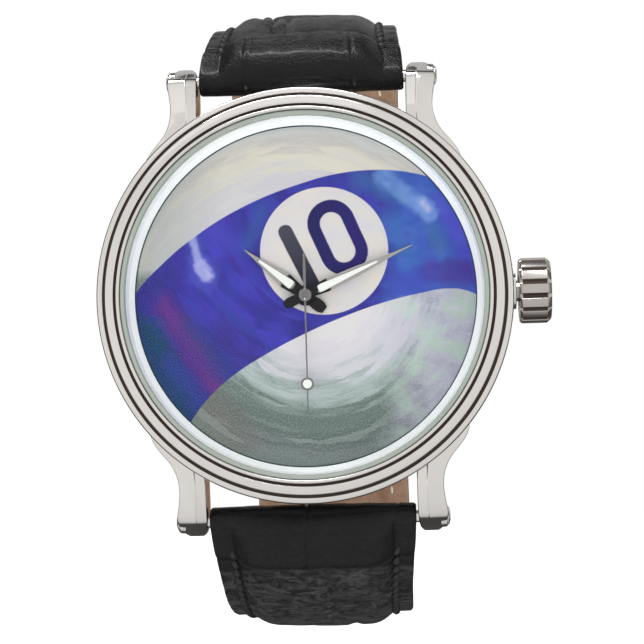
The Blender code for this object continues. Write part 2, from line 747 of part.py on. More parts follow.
def build_hands():
    build_hand("hour_hand", HOUR_ANGLE, hand_outline(7.3, 2.3, 0.74, 2.3), 6.55, 6.7, 0.98, 0.72,
               (1.55, 0.46, 5.6, 0.13))
    build_hand("minute_hand", MINUTE_ANGLE, hand_outline(11.3, 2.2, 0.62, 2.2), 6.88, 7.02, 0.75,
               0.48, (1.35, 0.4, 7.6, 0.11))
    dot = 8.45
    needle = [
        (0.05, 11.2), (0.07, 4), (0.11, 0.3), (0.11, -0.3), (0.14, -2), (0.1, -4.0),
        (-0.1, -4.0), (-0.14, -2), (-0.11, -0.3), (-0.11, 0.3), (-0.07, 4), (-0.05, 11.2),
    ]
    turn = (0, 0, -SECOND_ANGLE)
    hand = plate("seconds_hand", needle, 7.3, 7.42, POLISHED, turn=turn)
    hub = cylinder("hub", 0.63, 7.2, 7.48, None, steps=20, place=cutters)
    reach = Matrix.Rotation(-SECOND_ANGLE, 2) @ Vector((0, dot))
    eye = cylinder("eye", 0.62, 7.28, 7.44, None, steps=20, at=(*reach, 0), place=cutters)
    join(hand, hub, eye)
    cut(hand, hole(0, 0, 0.13, 0, 7.46), hole(*reach, 0.44, 0, 12, 16))
    cylinder("seconds_hand_lume", 0.42, 7.29, 7.43, LUME, steps=16, at=(*reach, 0))


# ---------------------------------------------------------------- strap


def curve_through(points, spacing=3.9):
    """Evenly spaced points and running lengths on a smooth curve through the given points."""
    dense = []
    for i in range(len(points) - 1):
        a, b = Vector(points[i]), Vector(points[i + 1])
        before = Vector(points[i - 1]) if i else a * 2 - b
        after = Vector(points[i + 2]) if i + 2 < len(points) else b * 2 - a
        for step in range(12):
            t = step / 12
            dense.append(
                0.5 * (2 * a + (b - before) * t + (2 * before - 5 * a + 4 * b - after) * t**2
                       + (3 * a - before - 3 * b + after) * t**3)
            )
    dense.append(Vector(points[-1]))
    lengths = [0.0]
    for a, b in zip(dense, dense[1:]):
        lengths.append(lengths[-1] + (b - a).length)
    count = round(lengths[-1] / spacing)
    made = []
    for k in range(count + 1):
        target = lengths[-1] * k / count
        i = max(1, next((n for n, run in enumerate(lengths) if run >= target - 1e-9), 1))
        share = (target - lengths[i - 1]) / (lengths[i] - lengths[i - 1])
        made.append((target, dense[i - 1].lerp(dense[i], share)))
    return made


def arc_point(radius, angle):
    """A point on an arc about the 6 o'clock bar; angle 0 lies straight behind the bar."""
    return -BAR_Y + radius * sin(angle), BAR_Z - radius * cos(angle)


def long_strap_path():
    corner = 11.0
    centre = (-BAR_Y, BAR_Z - (TAIL_ARC_R - corner))
    points = [(-BAR_Y, BAR_Z), (-24.9, 0.9), (-28.5, -4.0), (-30.9, -11.0), (-32.0, -20.0),
              (-BAR_Y - corner, -30.0)]
    for step in range(5):
        angle = step * pi / 8
        points.append((centre[0] - corner * cos(angle), centre[1] - corner * sin(angle)))
    points += [arc_point(TAIL_ARC_R, radians(a)) for a in range(8, 64, 8)]
    return points


BUCKLE_ANGLE = radians(15.5)


def short_strap_path():
    points = [(BAR_Y, BAR_Z), (24.3, 0.8), (26.9, -4.2), (28.4, -10.5), (28.9, -16.5)]
    points += [arc_point(BUCKLE_ARC_R, radians(a)) for a in range(62, 16, -9)]
    points.append(arc_point(BUCKLE_ARC_R, BUCKLE_ANGLE))
    return points


def frames(path, outward):
    """Each station's length, place and outward direction."""
    made = []
    for i, (run, point) in enumerate(path):
        along = path[min(i + 1, len(path) - 1)][1] - path[max(i - 1, 0)][1]
        along.normalize()
        made.append((run, point, Vector((-along.y, along.x)) * outward))
    return made


def sweep(name, stations, section, look, origin):
    """Lofts section(run, total) along the stations; section gives (x, offset outward) pairs."""
    total = stations[-1][0]
    shape = bmesh.new()
    loops = []
    for run, point, normal in stations:
        loop = []
        for x, offset in section(run, total):
            y = point.x + normal.x * offset - origin[0]
            z = point.y + normal.y * offset - origin[1]
            loop.append(shape.verts.new((x, y, z)))
        loops.append(loop)
    for first, second in zip(loops, loops[1:]):
        for i, _ in enumerate(first):
            j = (i + 1) % len(first)
            shape.faces.new((first[i], first[j], second[j], second[i]))
    shape.faces.new(loops[0])
    shape.faces.new(loops[-1])
    bmesh.ops.recalc_face_normals(shape, faces=shape.faces)
    mesh = bpy.data.meshes.new(name)
    shape.to_mesh(mesh)
    shape.free()
    return smooth(new_object(name, mesh, look, at=(0, *origin)), 40)


def width_at(run, total, pointed):
    width = STRAP_WIDTH + (BUCKLE_WIDTH - STRAP_WIDTH) * min(1.0, run / 70)
    left = total - run
    if pointed and left < 9:
        width *= max(0.2, sqrt(1 - (1 - left / 9) ** 2))
    return width


def thickness_at(run, thin):
    """Padded behind the bar and thinning towards the free end."""
    share = min(1.0, max(0.0, (run - 12) / 40))
    return 3.9 + (thin - 3.9) * share if run > 4 else 2 * ROLL_R + 0.3 * run


LINING_T = 0.62


def leather_section(thin, pointed):
    def section(run, total):
        half = width_at(run, total, pointed) / 2
        thick = thickness_at(run, thin)
        low, top = -thick / 2 + LINING_T + 0.08, thick / 2
        edge = min(top, low + 1.3)
        return [(-half, low), (half, low), (half, edge), (half * 0.72, top),
                (-half * 0.72, top), (-half, edge)]
    return section


def lining_section(thin, pointed):
    def section(run, total):
        half = width_at(run, total, pointed) / 2 - 0.05
        low = -thickness_at(run, thin) / 2
        return [(-half, low), (half, low), (half, low + LINING_T), (-half, low + LINING_T)]
    return section


def bar_roll(y, radius, half_width):
    return cylinder("roll", radius, -half_width, half_width, None, steps=20, at=(0, y[0], y[1]),
                    turn=(0, pi / 2, 0), place=cutters)


def hole_row(stations):
    """Cutters for the buckle holes, each midway between two stations of the long strap."""
    made = []
    for i in range(HOLE_COUNT):
        (_, first, normal), (_, second, _) = stations[-7 - 2 * i], stations[-6 - 2 * i]
        middle = (first + second) / 2
        tilt = atan2(normal.y, normal.x) - pi / 2
        made.append(cylinder("buckle_hole", HOLE_R, -4, 4, None, steps=8, turn=(tilt, 0, 0),
                             at=(0, middle.x, middle.y), place=cutters))
    return made


def build_strap(number, path, outward, thin, pointed):
    """One half of the strap: a padded leather outside that wraps its bar, and a lining."""
    stations = frames(curve_through(path), outward)
    origin = path[0]
    total = stations[-1][0]
    leather = sweep(f"strap_{number}_leather", stations, leather_section(thin, pointed), LEATHER, origin)
    rolls = [bar_roll(origin, ROLL_R, STRAP_WIDTH / 2 + 0.04)]
    holes = [bar_roll(origin, BAR_R + 0.12, 20)]
    last = total
    if pointed:
        holes += hole_row(stations)
    else:
        rolls.append(bar_roll(path[-1], 1.45, BUCKLE_WIDTH / 2 + 0.04))
        holes.append(bar_roll(path[-1], BUCKLE_BAR_R + 0.1, 20))
        slot = block("tang_slot", (2.9, 10, 8), None, at=(0, *path[-1]), place=cutters)
        slot.rotation_euler = (BUCKLE_ANGLE, 0, 0)
        holes.append(slot)
        last = total - 6
    join(leather, *rolls)
    cut(leather, *holes)
    inner = [s for s in stations if 4.5 < s[0] <= last]
    lining = sweep(f"strap_{number}_lining", inner, lining_section(thin, pointed), LINING, origin)
    if pointed:
        cut(lining, *hole_row(stations))


# ---------------------------------------------------------------- buckle and keepers

BUCKLE_BAR_R = 0.55


def build_keeper(name, behind, length, inner_gap):
    """A leather loop around the short strap, with room for the tail on its outer side."""
    angle = BUCKLE_ANGLE + behind / BUCKLE_ARC_R
    half = BUCKLE_WIDTH / 2 + 0.55
    height = 2 * inner_gap + 2.4
    middle = -BUCKLE_ARC_R - 1.2
    wall = 0.8
    loop = block(name, (2 * (half + wall), length, height + 2 * wall), LEATHER, bevel=0.3,
                 at=(0, -BAR_Y, BAR_Z), turn=(angle, 0, 0))
    loop.data.transform(Matrix.Translation((0, 0, middle)))
    room = block("keeper_room", (2 * half, length + 4, height), None, bevel=0.25,
                 at=(0, -BAR_Y, BAR_Z), turn=(angle, 0, 0), place=cutters)
    room.data.transform(Matrix.Translation((0, 0, middle)))
    cut(loop, room)


def build_buckle():
    """A pin buckle on a bar through the end of the short strap."""
    y, z = arc_point(BUCKLE_ARC_R, BUCKLE_ANGLE)
    place = {"at": (0, y, z), "turn": (BUCKLE_ANGLE, 0, 0)}
    side, front = 10.25, -10.6
    path = [(side, 1.15, 0), (side, -7.6, 0), (side - 0.5, -9.3, 0), (side - 1.6, -10.3, 0),
            (side - 3, front, 0)]
    path += [(-x, py, 0) for x, py, _ in path[::-1]]
    frame = tube_along("buckle_frame", path, 1.0, POLISHED, sides=3, **place)
    bore = cylinder("bar_bore", BUCKLE_BAR_R + 0.07, -10.87, 10.87, None, steps=10,
                    at=(0, y, z), turn=(0, pi / 2, 0), place=cutters)
    cut(frame, bore)
    cylinder("buckle_bar", BUCKLE_BAR_R, -10.75, 10.75, STEEL, steps=10, at=(0, y, z), turn=(0, pi / 2, 0))
    arm = [(0, -0.75, -0.45), (0, -3.2, -1.0), (0, -8, -1.72), (0, -10.6, -1.8), (0, -11.6, -1.75)]
    tang = tube_along("tang", arm, 0.68, POLISHED, sides=2, **place)
    eye = cylinder("tang_eye", 1.25, -1.15, 1.15, None, steps=16, at=(0, y, z), turn=(0, pi / 2, 0),
                   place=cutters)
    join(tang, eye)
    cut(tang, cylinder("eye_bore", BUCKLE_BAR_R + 0.08, -3, 3, None, steps=12, at=(0, y, z),
                       turn=(0, pi / 2, 0), place=cutters))


build_case()
build_case_back()
build_bezel()
build_glass()
build_dial()
build_lug_bars()
build_crown()
build_setting_lever()
build_train()
build_motion_works()
build_frame()
build_holder()
build_electrics()
build_hands()
build_strap("12", short_strap_path(), 1, 2.7, False)
build_strap("6", long_strap_path(), -1, 2.2, True)
build_keeper("fixed_keeper", 6.6, 4.2, 1.5)
build_keeper("loose_keeper", 15.2, 4.6, 1.65)
build_buckle()
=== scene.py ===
"""Round wristwatch with a pool-ball painting on its dial: looks, light and camera."""

from math import cos, pi, radians, sin, sqrt, tau

import bmesh
import bpy
import numpy as np
from mathutils import Matrix, Vector


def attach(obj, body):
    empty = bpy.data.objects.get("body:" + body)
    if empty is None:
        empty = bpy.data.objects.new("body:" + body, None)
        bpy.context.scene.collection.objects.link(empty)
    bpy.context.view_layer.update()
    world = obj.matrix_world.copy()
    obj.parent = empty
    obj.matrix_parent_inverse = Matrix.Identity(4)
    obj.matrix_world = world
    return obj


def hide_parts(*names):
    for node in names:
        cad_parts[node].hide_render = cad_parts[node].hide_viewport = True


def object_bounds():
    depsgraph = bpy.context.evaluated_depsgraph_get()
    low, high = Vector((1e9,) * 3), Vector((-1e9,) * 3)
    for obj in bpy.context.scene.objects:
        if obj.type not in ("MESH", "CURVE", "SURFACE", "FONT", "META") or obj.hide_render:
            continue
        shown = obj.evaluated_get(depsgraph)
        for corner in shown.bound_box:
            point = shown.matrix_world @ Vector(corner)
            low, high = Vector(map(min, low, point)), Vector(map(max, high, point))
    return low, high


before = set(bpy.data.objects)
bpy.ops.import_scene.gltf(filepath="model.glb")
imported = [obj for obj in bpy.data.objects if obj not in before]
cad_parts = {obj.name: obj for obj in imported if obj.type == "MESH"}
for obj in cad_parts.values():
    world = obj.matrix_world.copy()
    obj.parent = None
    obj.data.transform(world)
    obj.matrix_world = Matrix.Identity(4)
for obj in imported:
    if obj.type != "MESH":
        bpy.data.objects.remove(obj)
cad_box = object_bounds()

# Lengths below are watch millimetres: x to the crown, y to 12 o'clock, z out of the dial.
TO_WORLD = Matrix.Scale(0.001, 4) @ Matrix.Rotation(pi / 2, 4, "X")

CASE_R = 19.05
BEZEL_GROOVES = (17.99, 19.05)
DIAL_R = 16.8
PAINTING_HALF = 17  # half the width of the painted square
HUB_SHADE_R = 2.45
GLASS_GLOSS_LIMIT = 0.10
LUG_GAP = 20.2
BAR_Y, BAR_Z = 21.4, 2.8
ROLL_R = 1.35
STRAP_DROP = 0.115  # room for the 6 o'clock strap to hang straight down, in metres
STRAP_WIDTH, BUCKLE_WIDTH = 19.7, 18.0
TAIL_ARC_R, BUCKLE_ARC_R = 50.5, 55.0
BUCKLE_ANGLE = radians(15.5)
HOLE_R = 0.9
STEM_Z = 3.7
CROWN_R, CROWN_START, CROWN_END = 3.15, 20.45, 23.5
FLUTES, FLUTE_R = 14, 0.30
LINING_T = 0.62
HEAD_JOINT = 4.0  # run along the strap where the turned-over head meets the padded body
BODY_START, LINING_START = 3.95, 4.5
HEAD_SEAM_START, LINING_SEAM_START = 3.3, 6.0
SEAM = {"inset": 1.8, "pitch": 1.3, "length": 1.15, "thick": 0.74}
LINING_SEAM = {"inset": 2.0, "pitch": 2.15, "length": 1.55, "thick": 0.34, "underside": True}
BUCKLE_SLOT, BUCKLE_END = 1.45, 9  # half widths of the tongue's gap and of the strap's end
HOUR_ANGLE, MINUTE_ANGLE, SECOND_ANGLE = radians(308.5), radians(66.5), radians(180)
BEVEL_ANGLE = 32  # degrees from which an edge is softened

STEEL_TINT = (0.80, 0.785, 0.765)
# colours of painted shade: dark in the steel's grooves, and round the hands' hub
GROOVE_SHADE_COLOUR, HUB_SHADE_COLOUR = (0.085, 0.062, 0.052), (0.03, 0.03, 0.033)


# ---------------------------------------------------------------- node helpers


class Graph:
    """A small builder for a material's node tree."""

    def __init__(self, name):
        self.mat = bpy.data.materials.new(name)
        self.mat.use_nodes = True
        self.tree = self.mat.node_tree
        self.nodes = self.tree.nodes
        self.bsdf = self.nodes["Principled BSDF"]
        self.out = self.nodes["Material Output"]
        coord = self.nodes.new("ShaderNodeTexCoord")
        scaled = self.nodes.new("ShaderNodeMapping")
        scaled.inputs["Scale"].default_value = (1000, 1000, 1000)
        self.link(coord.outputs["Object"], scaled.inputs["Vector"])
        self.mm = scaled.outputs["Vector"]

    def link(self, a, b):
        self.tree.links.new(a, b)

    def put(self, socket, value):
        if isinstance(value, bpy.types.NodeSocket):
            self.link(value, socket)
        elif value is not None:
            socket.default_value = value

    def node(self, kind, **inputs):
        made = self.nodes.new(kind)
        for key, value in inputs.items():
            self.put(made.inputs[key.replace("_", " ")], value)
        return made

    def math(self, what, a, b=None, c=None, clamp=False):
        made = self.nodes.new("ShaderNodeMath")
        made.operation, made.use_clamp = what, clamp
        for i, value in enumerate((a, b, c)):
            self.put(made.inputs[i], value)
        return made.outputs[0]

    def add(self, a, b):
        return self.math("ADD", a, b)

    def mul(self, a, b):
        return self.math("MULTIPLY", a, b)

    def scaled(self, value, by, offset):
        """The value times a number, plus an offset."""
        return self.math("MULTIPLY_ADD", value, by, offset)

    def split(self, vector):
        """The X, Y and Z of a vector."""
        return self.node("ShaderNodeSeparateXYZ", Vector=vector).outputs

    def length(self, a, b):
        """Distance from the axis, from two coordinates across it."""
        return self.math("SQRT", self.add(self.mul(a, a), self.mul(b, b)))

    def map(self, vector, scale=(1, 1, 1), turn=(0, 0, 0), move=(0, 0, 0)):
        made = self.node("ShaderNodeMapping", Vector=vector)
        made.inputs["Scale"].default_value = scale
        made.inputs["Rotation"].default_value = turn
        made.inputs["Location"].default_value = move
        return made.outputs[0]

    def noise(self, vector, scale, detail=3.0, rough=0.5, distortion=0.0):
        made = self.node("ShaderNodeTexNoise", Vector=vector, Scale=scale, Detail=detail,
                         Roughness=rough, Distortion=distortion)
        return made.outputs["Fac"]

    def cells(self, vector, scale, feature="F1"):
        made = self.node("ShaderNodeTexVoronoi", Vector=vector, Scale=scale)
        made.feature = feature
        return made.outputs["Distance"]

    def ramp(self, value, stops):
        made = self.node("ShaderNodeValToRGB", Fac=value)
        band = made.color_ramp
        for i, (at, colour) in enumerate(stops):
            stop = band.elements[i] if i < 2 else band.elements.new(at)
            stop.position = at
            if not hasattr(colour, "__len__"):
                colour = (colour, colour, colour)
            stop.color = (*colour, 1)
        return made.outputs["Color"]

    def mix(self, factor, a, b):
        made = self.nodes.new("ShaderNodeMix")
        made.data_type = "RGBA"
        self.put(made.inputs[0], factor)
        for i, value in ((6, a), (7, b)):
            if isinstance(value, tuple) and len(value) == 3:
                value = (*value, 1)
            self.put(made.inputs[i], value)
        return made.outputs[2]

    def range(self, value, low, high, to_low=0.0, to_high=1.0):
        made = self.node("ShaderNodeMapRange", Value=value)
        for key, number in zip(("From Min", "From Max", "To Min", "To Max"),
                               (low, high, to_low, to_high)):
            made.inputs[key].default_value = number
        return made.outputs[0]

    def bump(self, height, distance, strength):
        return self.node("ShaderNodeBump", Height=height, Distance=distance,
                         Strength=strength).outputs[0]

    def set(self, **sockets):
        for key, value in sockets.items():
            if isinstance(value, tuple) and len(value) == 3:
                value = (*value, 1)
            self.put(self.bsdf.inputs[key.replace("_", " ")], value)
        return self.mat


def srgb(r, g, b):
    """A linear colour from 0-255 display numbers."""

    def part(v):
        v /= 255
        return v / 12.92 if v <= 0.04045 else ((v + 0.055) / 1.055) ** 2.4

    return part(r), part(g), part(b)


# ---------------------------------------------------------------- mesh helpers


def piece(name, shape, look, body, replaced=(), auto=35):
    """A finished piece from a bmesh in watch millimetres, riding on its body."""
    mesh = bpy.data.meshes.new(name)
    bmesh.ops.recalc_face_normals(shape, faces=shape.faces)
    shape.to_mesh(mesh)
    shape.free()
    mesh.transform(TO_WORLD)
    mesh.update()
    obj = bpy.data.objects.new(name, mesh)
    bpy.context.scene.collection.objects.link(obj)
    mesh.materials.append(look)
    mesh.shade_smooth()
    if auto:
        sharp_by_angle(mesh, auto)
    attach(obj, body)
    if replaced:
        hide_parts(*replaced)
    return obj


def sharp_by_angle(mesh, degrees):
    """Marks the edges that turn by more than an angle as sharp."""
    shape = bmesh.new()
    shape.from_mesh(mesh)
    for edge in shape.edges:
        edge.smooth = len(edge.link_faces) == 2 and edge.calc_face_angle(0) < radians(degrees)
    shape.to_mesh(mesh)
    shape.free()


def soft_profile(points, radius, steps=3):
    """The closed profile with each corner rounded off."""
    made = []
    count = len(points)
    for i, corner in enumerate(points):
        corner = Vector(corner)
        before, after = Vector(points[i - 1]), Vector(points[(i + 1) % count])
        to_before, to_after = before - corner, after - corner
        reach = min(radius, to_before.length * 0.45, to_after.length * 0.45)
        if corner.x < 1e-6 or reach < 1e-4:
            made.append(tuple(corner))
            continue
        a = corner + to_before.normalized() * reach
        b = corner + to_after.normalized() * reach
        for step in range(steps + 1):
            t = step / steps
            made.append(tuple(a.lerp(corner, t).lerp(corner.lerp(b, t), t)))
    return made


def lathe(shape, profile, steps=160, frame_of=None, radius_at=None):
    """A profile of (radius, height) turned about z, closed as a loop, or from axis to axis."""
    place = frame_of or Matrix()
    rows = []
    for radius, height in profile:
        if radius < 1e-6:
            rows.append([shape.verts.new(place @ Vector((0, 0, height)))])
            continue
        row = []
        for k in range(steps):
            a = tau * k / steps
            r = radius_at(radius, height, a) if radius_at else radius
            row.append(shape.verts.new(place @ Vector((r * cos(a), r * sin(a), height))))
        rows.append(row)
    for first, second in zip(rows, rows[1:] + rows[:1]):
        if len(first) == len(second) == 1:
            continue
        for k in range(steps):
            n = (k + 1) % steps
            quad = [first[k % len(first)], first[n % len(first)],
                    second[n % len(second)], second[k % len(second)]]
            unique = list(dict.fromkeys(quad))
            if len(unique) > 2:
                shape.faces.new(unique)
    return shape


def along_x(x=0.0, y=0.0, z=0.0):
    """Turns a lathe's axis to the crown's direction."""
    return Matrix.Translation((x, y, z)) @ Matrix.Rotation(pi / 2, 4, "Y")


def loft(shape, loops):
    """A closed skin over loops of equal length, capped at both ends."""
    rows = [[shape.verts.new(p) for p in loop] for loop in loops]
    for first, second in zip(rows, rows[1:]):
        join_rows(shape, first, second)
    shape.faces.new(rows[0][::-1])
    shape.faces.new(rows[-1])
    return shape


def join_rows(shape, first, second):
    for i, _ in enumerate(first):
        j = (i + 1) % len(first)
        shape.faces.new((first[i], first[j], second[j], second[i]))


def extruded(outline, low, high):
    """A flat plate from an outline of (x, y) points."""
    return loft(bmesh.new(), [[(x, y, z) for x, y in outline] for z in (low, high)])


def worked(shape, cutters, bevel=0.0, segments=2):
    """The shape with cutters taken away and its edges softened, still in millimetres."""

    def as_object(part, name):
        mesh = bpy.data.meshes.new(name)
        bmesh.ops.recalc_face_normals(part, faces=part.faces)
        part.to_mesh(mesh)
        part.free()
        obj = bpy.data.objects.new(name, mesh)
        bpy.context.scene.collection.objects.link(obj)
        return obj

    body = as_object(shape, "working")
    tools = [as_object(cutter, "tool") for cutter in cutters]
    for tool in tools:
        step = body.modifiers.new("cut", "BOOLEAN")
        step.operation, step.solver, step.object = "DIFFERENCE", "EXACT", tool
    if bevel:
        step = body.modifiers.new("edges", "BEVEL")
        step.width, step.segments, step.limit_method = bevel, segments, "ANGLE"
        step.angle_limit = radians(BEVEL_ANGLE)
        step.use_clamp_overlap = True
    bpy.context.view_layer.update()
    graph = bpy.context.evaluated_depsgraph_get()
    mesh = bpy.data.meshes.new_from_object(body.evaluated_get(graph))
    made = bmesh.new()
    made.from_mesh(mesh)
    for obj in [body, *tools]:
        old = obj.data
        bpy.data.objects.remove(obj)
        bpy.data.meshes.remove(old)
    bpy.data.meshes.remove(mesh)
    return made


def cylinder(radius, low, high, steps=48, where=None):
    profile = [(0, low), (radius, low), (radius, high), (0, high)]
    return lathe(bmesh.new(), profile, steps, where)


def box_tool(size, place):
    """A cutter box of a given size."""
    shape = bmesh.new()
    bmesh.ops.create_cube(shape, size=1, matrix=place @ Matrix.Diagonal((*size, 1)))
    return shape


# ---------------------------------------------------------------- materials


def steel(name, tint=STEEL_TINT, rough=0.07, shaded_parts=None, shade_colour=GROOVE_SHADE_COLOUR):
    """Polished steel with a faint orange-peel, hairline scratches, smudged gloss, and painted shade
    in the given parts.
    """
    g = Graph(name)
    haze = g.noise(g.mm, 0.35, 4, 0.6)
    fine = g.noise(g.map(g.mm, (1, 6, 1)), 3.0, 2, 0.5)
    lines = g.noise(g.map(g.mm, (0.4, 9, 9), (0.3, 0.5, 0.2)), 2.2, 5, 0.7)
    scratch = g.range(lines, 0.62, 0.75)
    roughness = g.scaled(haze, 0.06, rough - 0.02)
    roughness = g.add(roughness, g.mul(scratch, 0.09))
    colour = g.mix(haze, tuple(v * 0.96 for v in tint), tuple(min(1, v * 1.04) for v in tint))
    normal = g.bump(g.add(g.mul(fine, 0.5), g.mul(scratch, 0.35)), 0.000004, 0.25)
    # painted shade: the given parts are darkened in the base colour
    if shaded_parts:
        dark = shaded_parts(g, *(g.split(g.mm)[axis] for axis in "XYZ"))
        colour = g.mix(g.math("MINIMUM", dark, 1.0), colour, shade_colour)
        roughness = g.scaled(dark, 0.30, roughness)
    return g.set(Base_Color=colour, Metallic=1.0, Roughness=roughness, Normal=normal)


def bezel_groove_shade(g, x, y, z):
    """Painted shade in the bezel's two narrow grooves."""
    radius = g.length(x, z)
    dark = 0.0
    for place in BEZEL_GROOVES:
        away = g.math("ABSOLUTE", g.math("SUBTRACT", radius, place))
        dark = g.add(g.range(away, 0.155, 0.07), dark)
    return dark


def crown_flute_shade(g, x, y, z):
    """Painted shade in the crown's flutes, away from its chamfers and its collar."""
    radius = g.length(g.add(y, STEM_Z), z)
    dark = g.mul(g.range(radius, CROWN_R - 0.03, CROWN_R - 0.10), g.range(radius, 2.3, 2.7))
    return g.mul(dark, g.mul(g.range(x, 20.6, 20.75), g.range(x, 23.15, 23.0)))


def hand_hub_shade(g, x, y, z):
    """Painted shade round the hands' hub."""
    return g.range(g.length(x, z), HUB_SHADE_R + 0.2, HUB_SHADE_R)


def brushed(name, tint=(0.62, 0.61, 0.59), rings=True):
    """Turned or straight-grained steel."""
    g = Graph(name)
    if rings:
        parts = g.split(g.mm)
        x, z = parts["X"], parts["Z"]
        across = g.node("ShaderNodeCombineXYZ", X=g.mul(g.length(x, z), 14.0),
                        Y=g.mul(g.math("ARCTAN2", z, x), 0.8)).outputs[0]
    else:
        across = g.map(g.mm, (0.6, 12, 12))
    grain = g.noise(across, 1.0, 4, 0.65)
    broad = g.noise(g.mm, 0.3, 3)
    colour = g.mix(g.scaled(broad, 0.5, g.mul(grain, 0.5)),
                   tuple(v * 0.82 for v in tint), tint)
    return g.set(Base_Color=colour, Metallic=1.0, Roughness=g.range(grain, 0.3, 0.7, 0.22, 0.38),
                 Normal=g.bump(grain, 0.00001, 0.5))


def plain_metal(name, tint, rough):
    """Turned or stamped metal with a fine grain."""
    g = Graph(name)
    grain = g.noise(g.map(g.mm, (1, 3, 1)), 4.0, 4, 0.6)
    spots = g.noise(g.mm, 0.9, 3)
    colour = g.mix(spots, tuple(v * 0.8 for v in tint), tint)
    roughness = g.range(grain, 0.3, 0.7, rough, rough + 0.15)
    return g.set(Base_Color=colour, Metallic=1.0, Roughness=roughness,
                 Normal=g.bump(grain, 0.000006, 0.3))


def plastic(name, tint, rough=0.4):
    """Moulded plastic or rubber with a fine grain."""
    g = Graph(name)
    fine = g.noise(g.mm, 4.0, 3, 0.6)
    broad = g.noise(g.mm, 0.4, 3)
    colour = g.mix(broad, tuple(v * 0.85 for v in tint), tint)
    return g.set(Base_Color=colour, Roughness=g.range(fine, 0.3, 0.7, rough - 0.05, rough + 0.08),
                 Normal=g.bump(fine, 0.000008, 0.3))


def winding(name):
    """Fine enamelled copper wire, wound in close turns."""
    g = Graph(name)
    wave = g.node("ShaderNodeTexWave", Vector=g.mm, Scale=6.0, Distortion=0.2)
    wave.bands_direction = "X"
    colour = g.mix(wave.outputs["Fac"], (0.35, 0.12, 0.05), (0.8, 0.36, 0.18))
    return g.set(Base_Color=colour, Metallic=0.9, Roughness=0.3,
                 Normal=g.bump(wave.outputs["Fac"], 0.00002, 0.6))


def clear_glass(name):
    """Mineral crystal: it mirrors softly at the edge and lets the studio light through."""
    g = Graph(name)
    smudge = g.noise(g.mm, 0.12, 3, 0.55)
    g.set(Base_Color=(0.985, 0.995, 0.99), Transmission_Weight=1.0, IOR=1.45, Roughness=0.0)
    clear = g.nodes.new("ShaderNodeBsdfTransparent")
    mirror = g.nodes.new("ShaderNodeBsdfGlossy")
    g.put(mirror.inputs["Roughness"], g.scaled(smudge, 0.03, 0.01))
    edge = g.nodes.new("ShaderNodeFresnel")
    edge.inputs["IOR"].default_value = 1.14
    both = g.nodes.new("ShaderNodeMixShader")
    # the gloss has a limit, so that the dial still shows from the side
    g.link(g.math("MINIMUM", edge.outputs[0], GLASS_GLOSS_LIMIT), both.inputs[0])
    g.link(clear.outputs[0], both.inputs[1])
    g.link(mirror.outputs[0], both.inputs[2])
    g.link(both.outputs[0], g.out.inputs["Surface"])
    return g.mat


def black_leather(name, depth=1.0, tiled=True):
    """Semi-gloss black calf: pores and fine wrinkles, smooth beside the bars, and beyond them worn
    and greyer by a painted sheen.
    """
    g = Graph(name)
    pores = g.cells(g.mm, 5.5)
    wrinkle = g.noise(g.map(g.mm, (1.0, 1.0, 2.2)), 1.7, 6, 0.62, 0.4)
    soft = g.noise(g.mm, 0.22, 3, 0.5)
    crackle = g.cells(g.map(g.mm, (1, 1, 1.5)), 1.6, "DISTANCE_TO_EDGE")
    lines = g.range(crackle, 0.0, 0.12)
    colour = g.mix(soft, (0.004, 0.004, 0.0045), (0.009, 0.0088, 0.0098))
    colour = g.mix(g.mul(g.range(wrinkle, 0.5, 0.8), 0.5), colour, (0.018, 0.0175, 0.019))
    height = g.add(wrinkle, g.mul(lines, 0.35))
    height = g.add(height, g.mul(g.math("MINIMUM", pores, 0.4), 0.6))
    # worn, and greyer by a painted sheen, away from the smooth tile beside each lug bar
    wear_and_sheen = 0.25
    if tiled:
        parts = g.split(g.mm)
        wear_and_sheen = g.add(g.range(parts["Z"], 25.0, 25.5), g.range(parts["Z"], -26.1, -26.6))
        wear_and_sheen = g.math("MAXIMUM", wear_and_sheen, g.range(parts["Y"], 3.0, 6.0))
    fine = g.noise(g.map(g.mm, (1.0, 1.0, 2.6)), 0.62, 5, 0.66, 1.1)
    # painted sheen: a lighter, mottled grey mixed into the black where the leather is worn
    worn_sheen_grey = g.mix(g.range(fine, 0.42, 0.74), (0.009, 0.0088, 0.0095), (0.050, 0.049, 0.052))
    colour = g.mix(wear_and_sheen, colour, worn_sheen_grey)
    height = g.add(height, g.mul(fine, g.mul(wear_and_sheen, 1.9)))
    rough = g.add(g.scaled(wrinkle, 0.26, 0.18), g.mul(wear_and_sheen, 0.10))
    return g.set(Base_Color=colour, Roughness=rough, Normal=g.bump(height, 0.00009 * depth, 0.6),
                 Specular_IOR_Level=0.15, Coat_Weight=0.12, Coat_Roughness=0.12)


def tan_leather(name):
    """Smooth vegetable-tanned lining with pores and faint mottling."""
    g = Graph(name)
    pores = g.cells(g.mm, 3.8)
    mottle = g.noise(g.mm, 0.35, 5, 0.6, 0.6)
    fibre = g.noise(g.map(g.mm, (3.5, 1, 1)), 2.5, 4, 0.6)
    colour = g.ramp(mottle, [(0.28, (0.20, 0.115, 0.070)), (0.52, (0.31, 0.195, 0.128)),
                             (0.75, (0.38, 0.255, 0.178))])
    colour = g.mix(g.mul(g.range(fibre, 0.5, 0.8), 0.35), colour, (0.44, 0.32, 0.23))
    height = g.add(g.math("MINIMUM", pores, 0.35), g.mul(fibre, 0.6))
    return g.set(Base_Color=colour, Roughness=g.range(mottle, 0.2, 0.8, 0.5, 0.7),
                 Normal=g.bump(height, 0.00005, 0.5), Specular_IOR_Level=0.35)


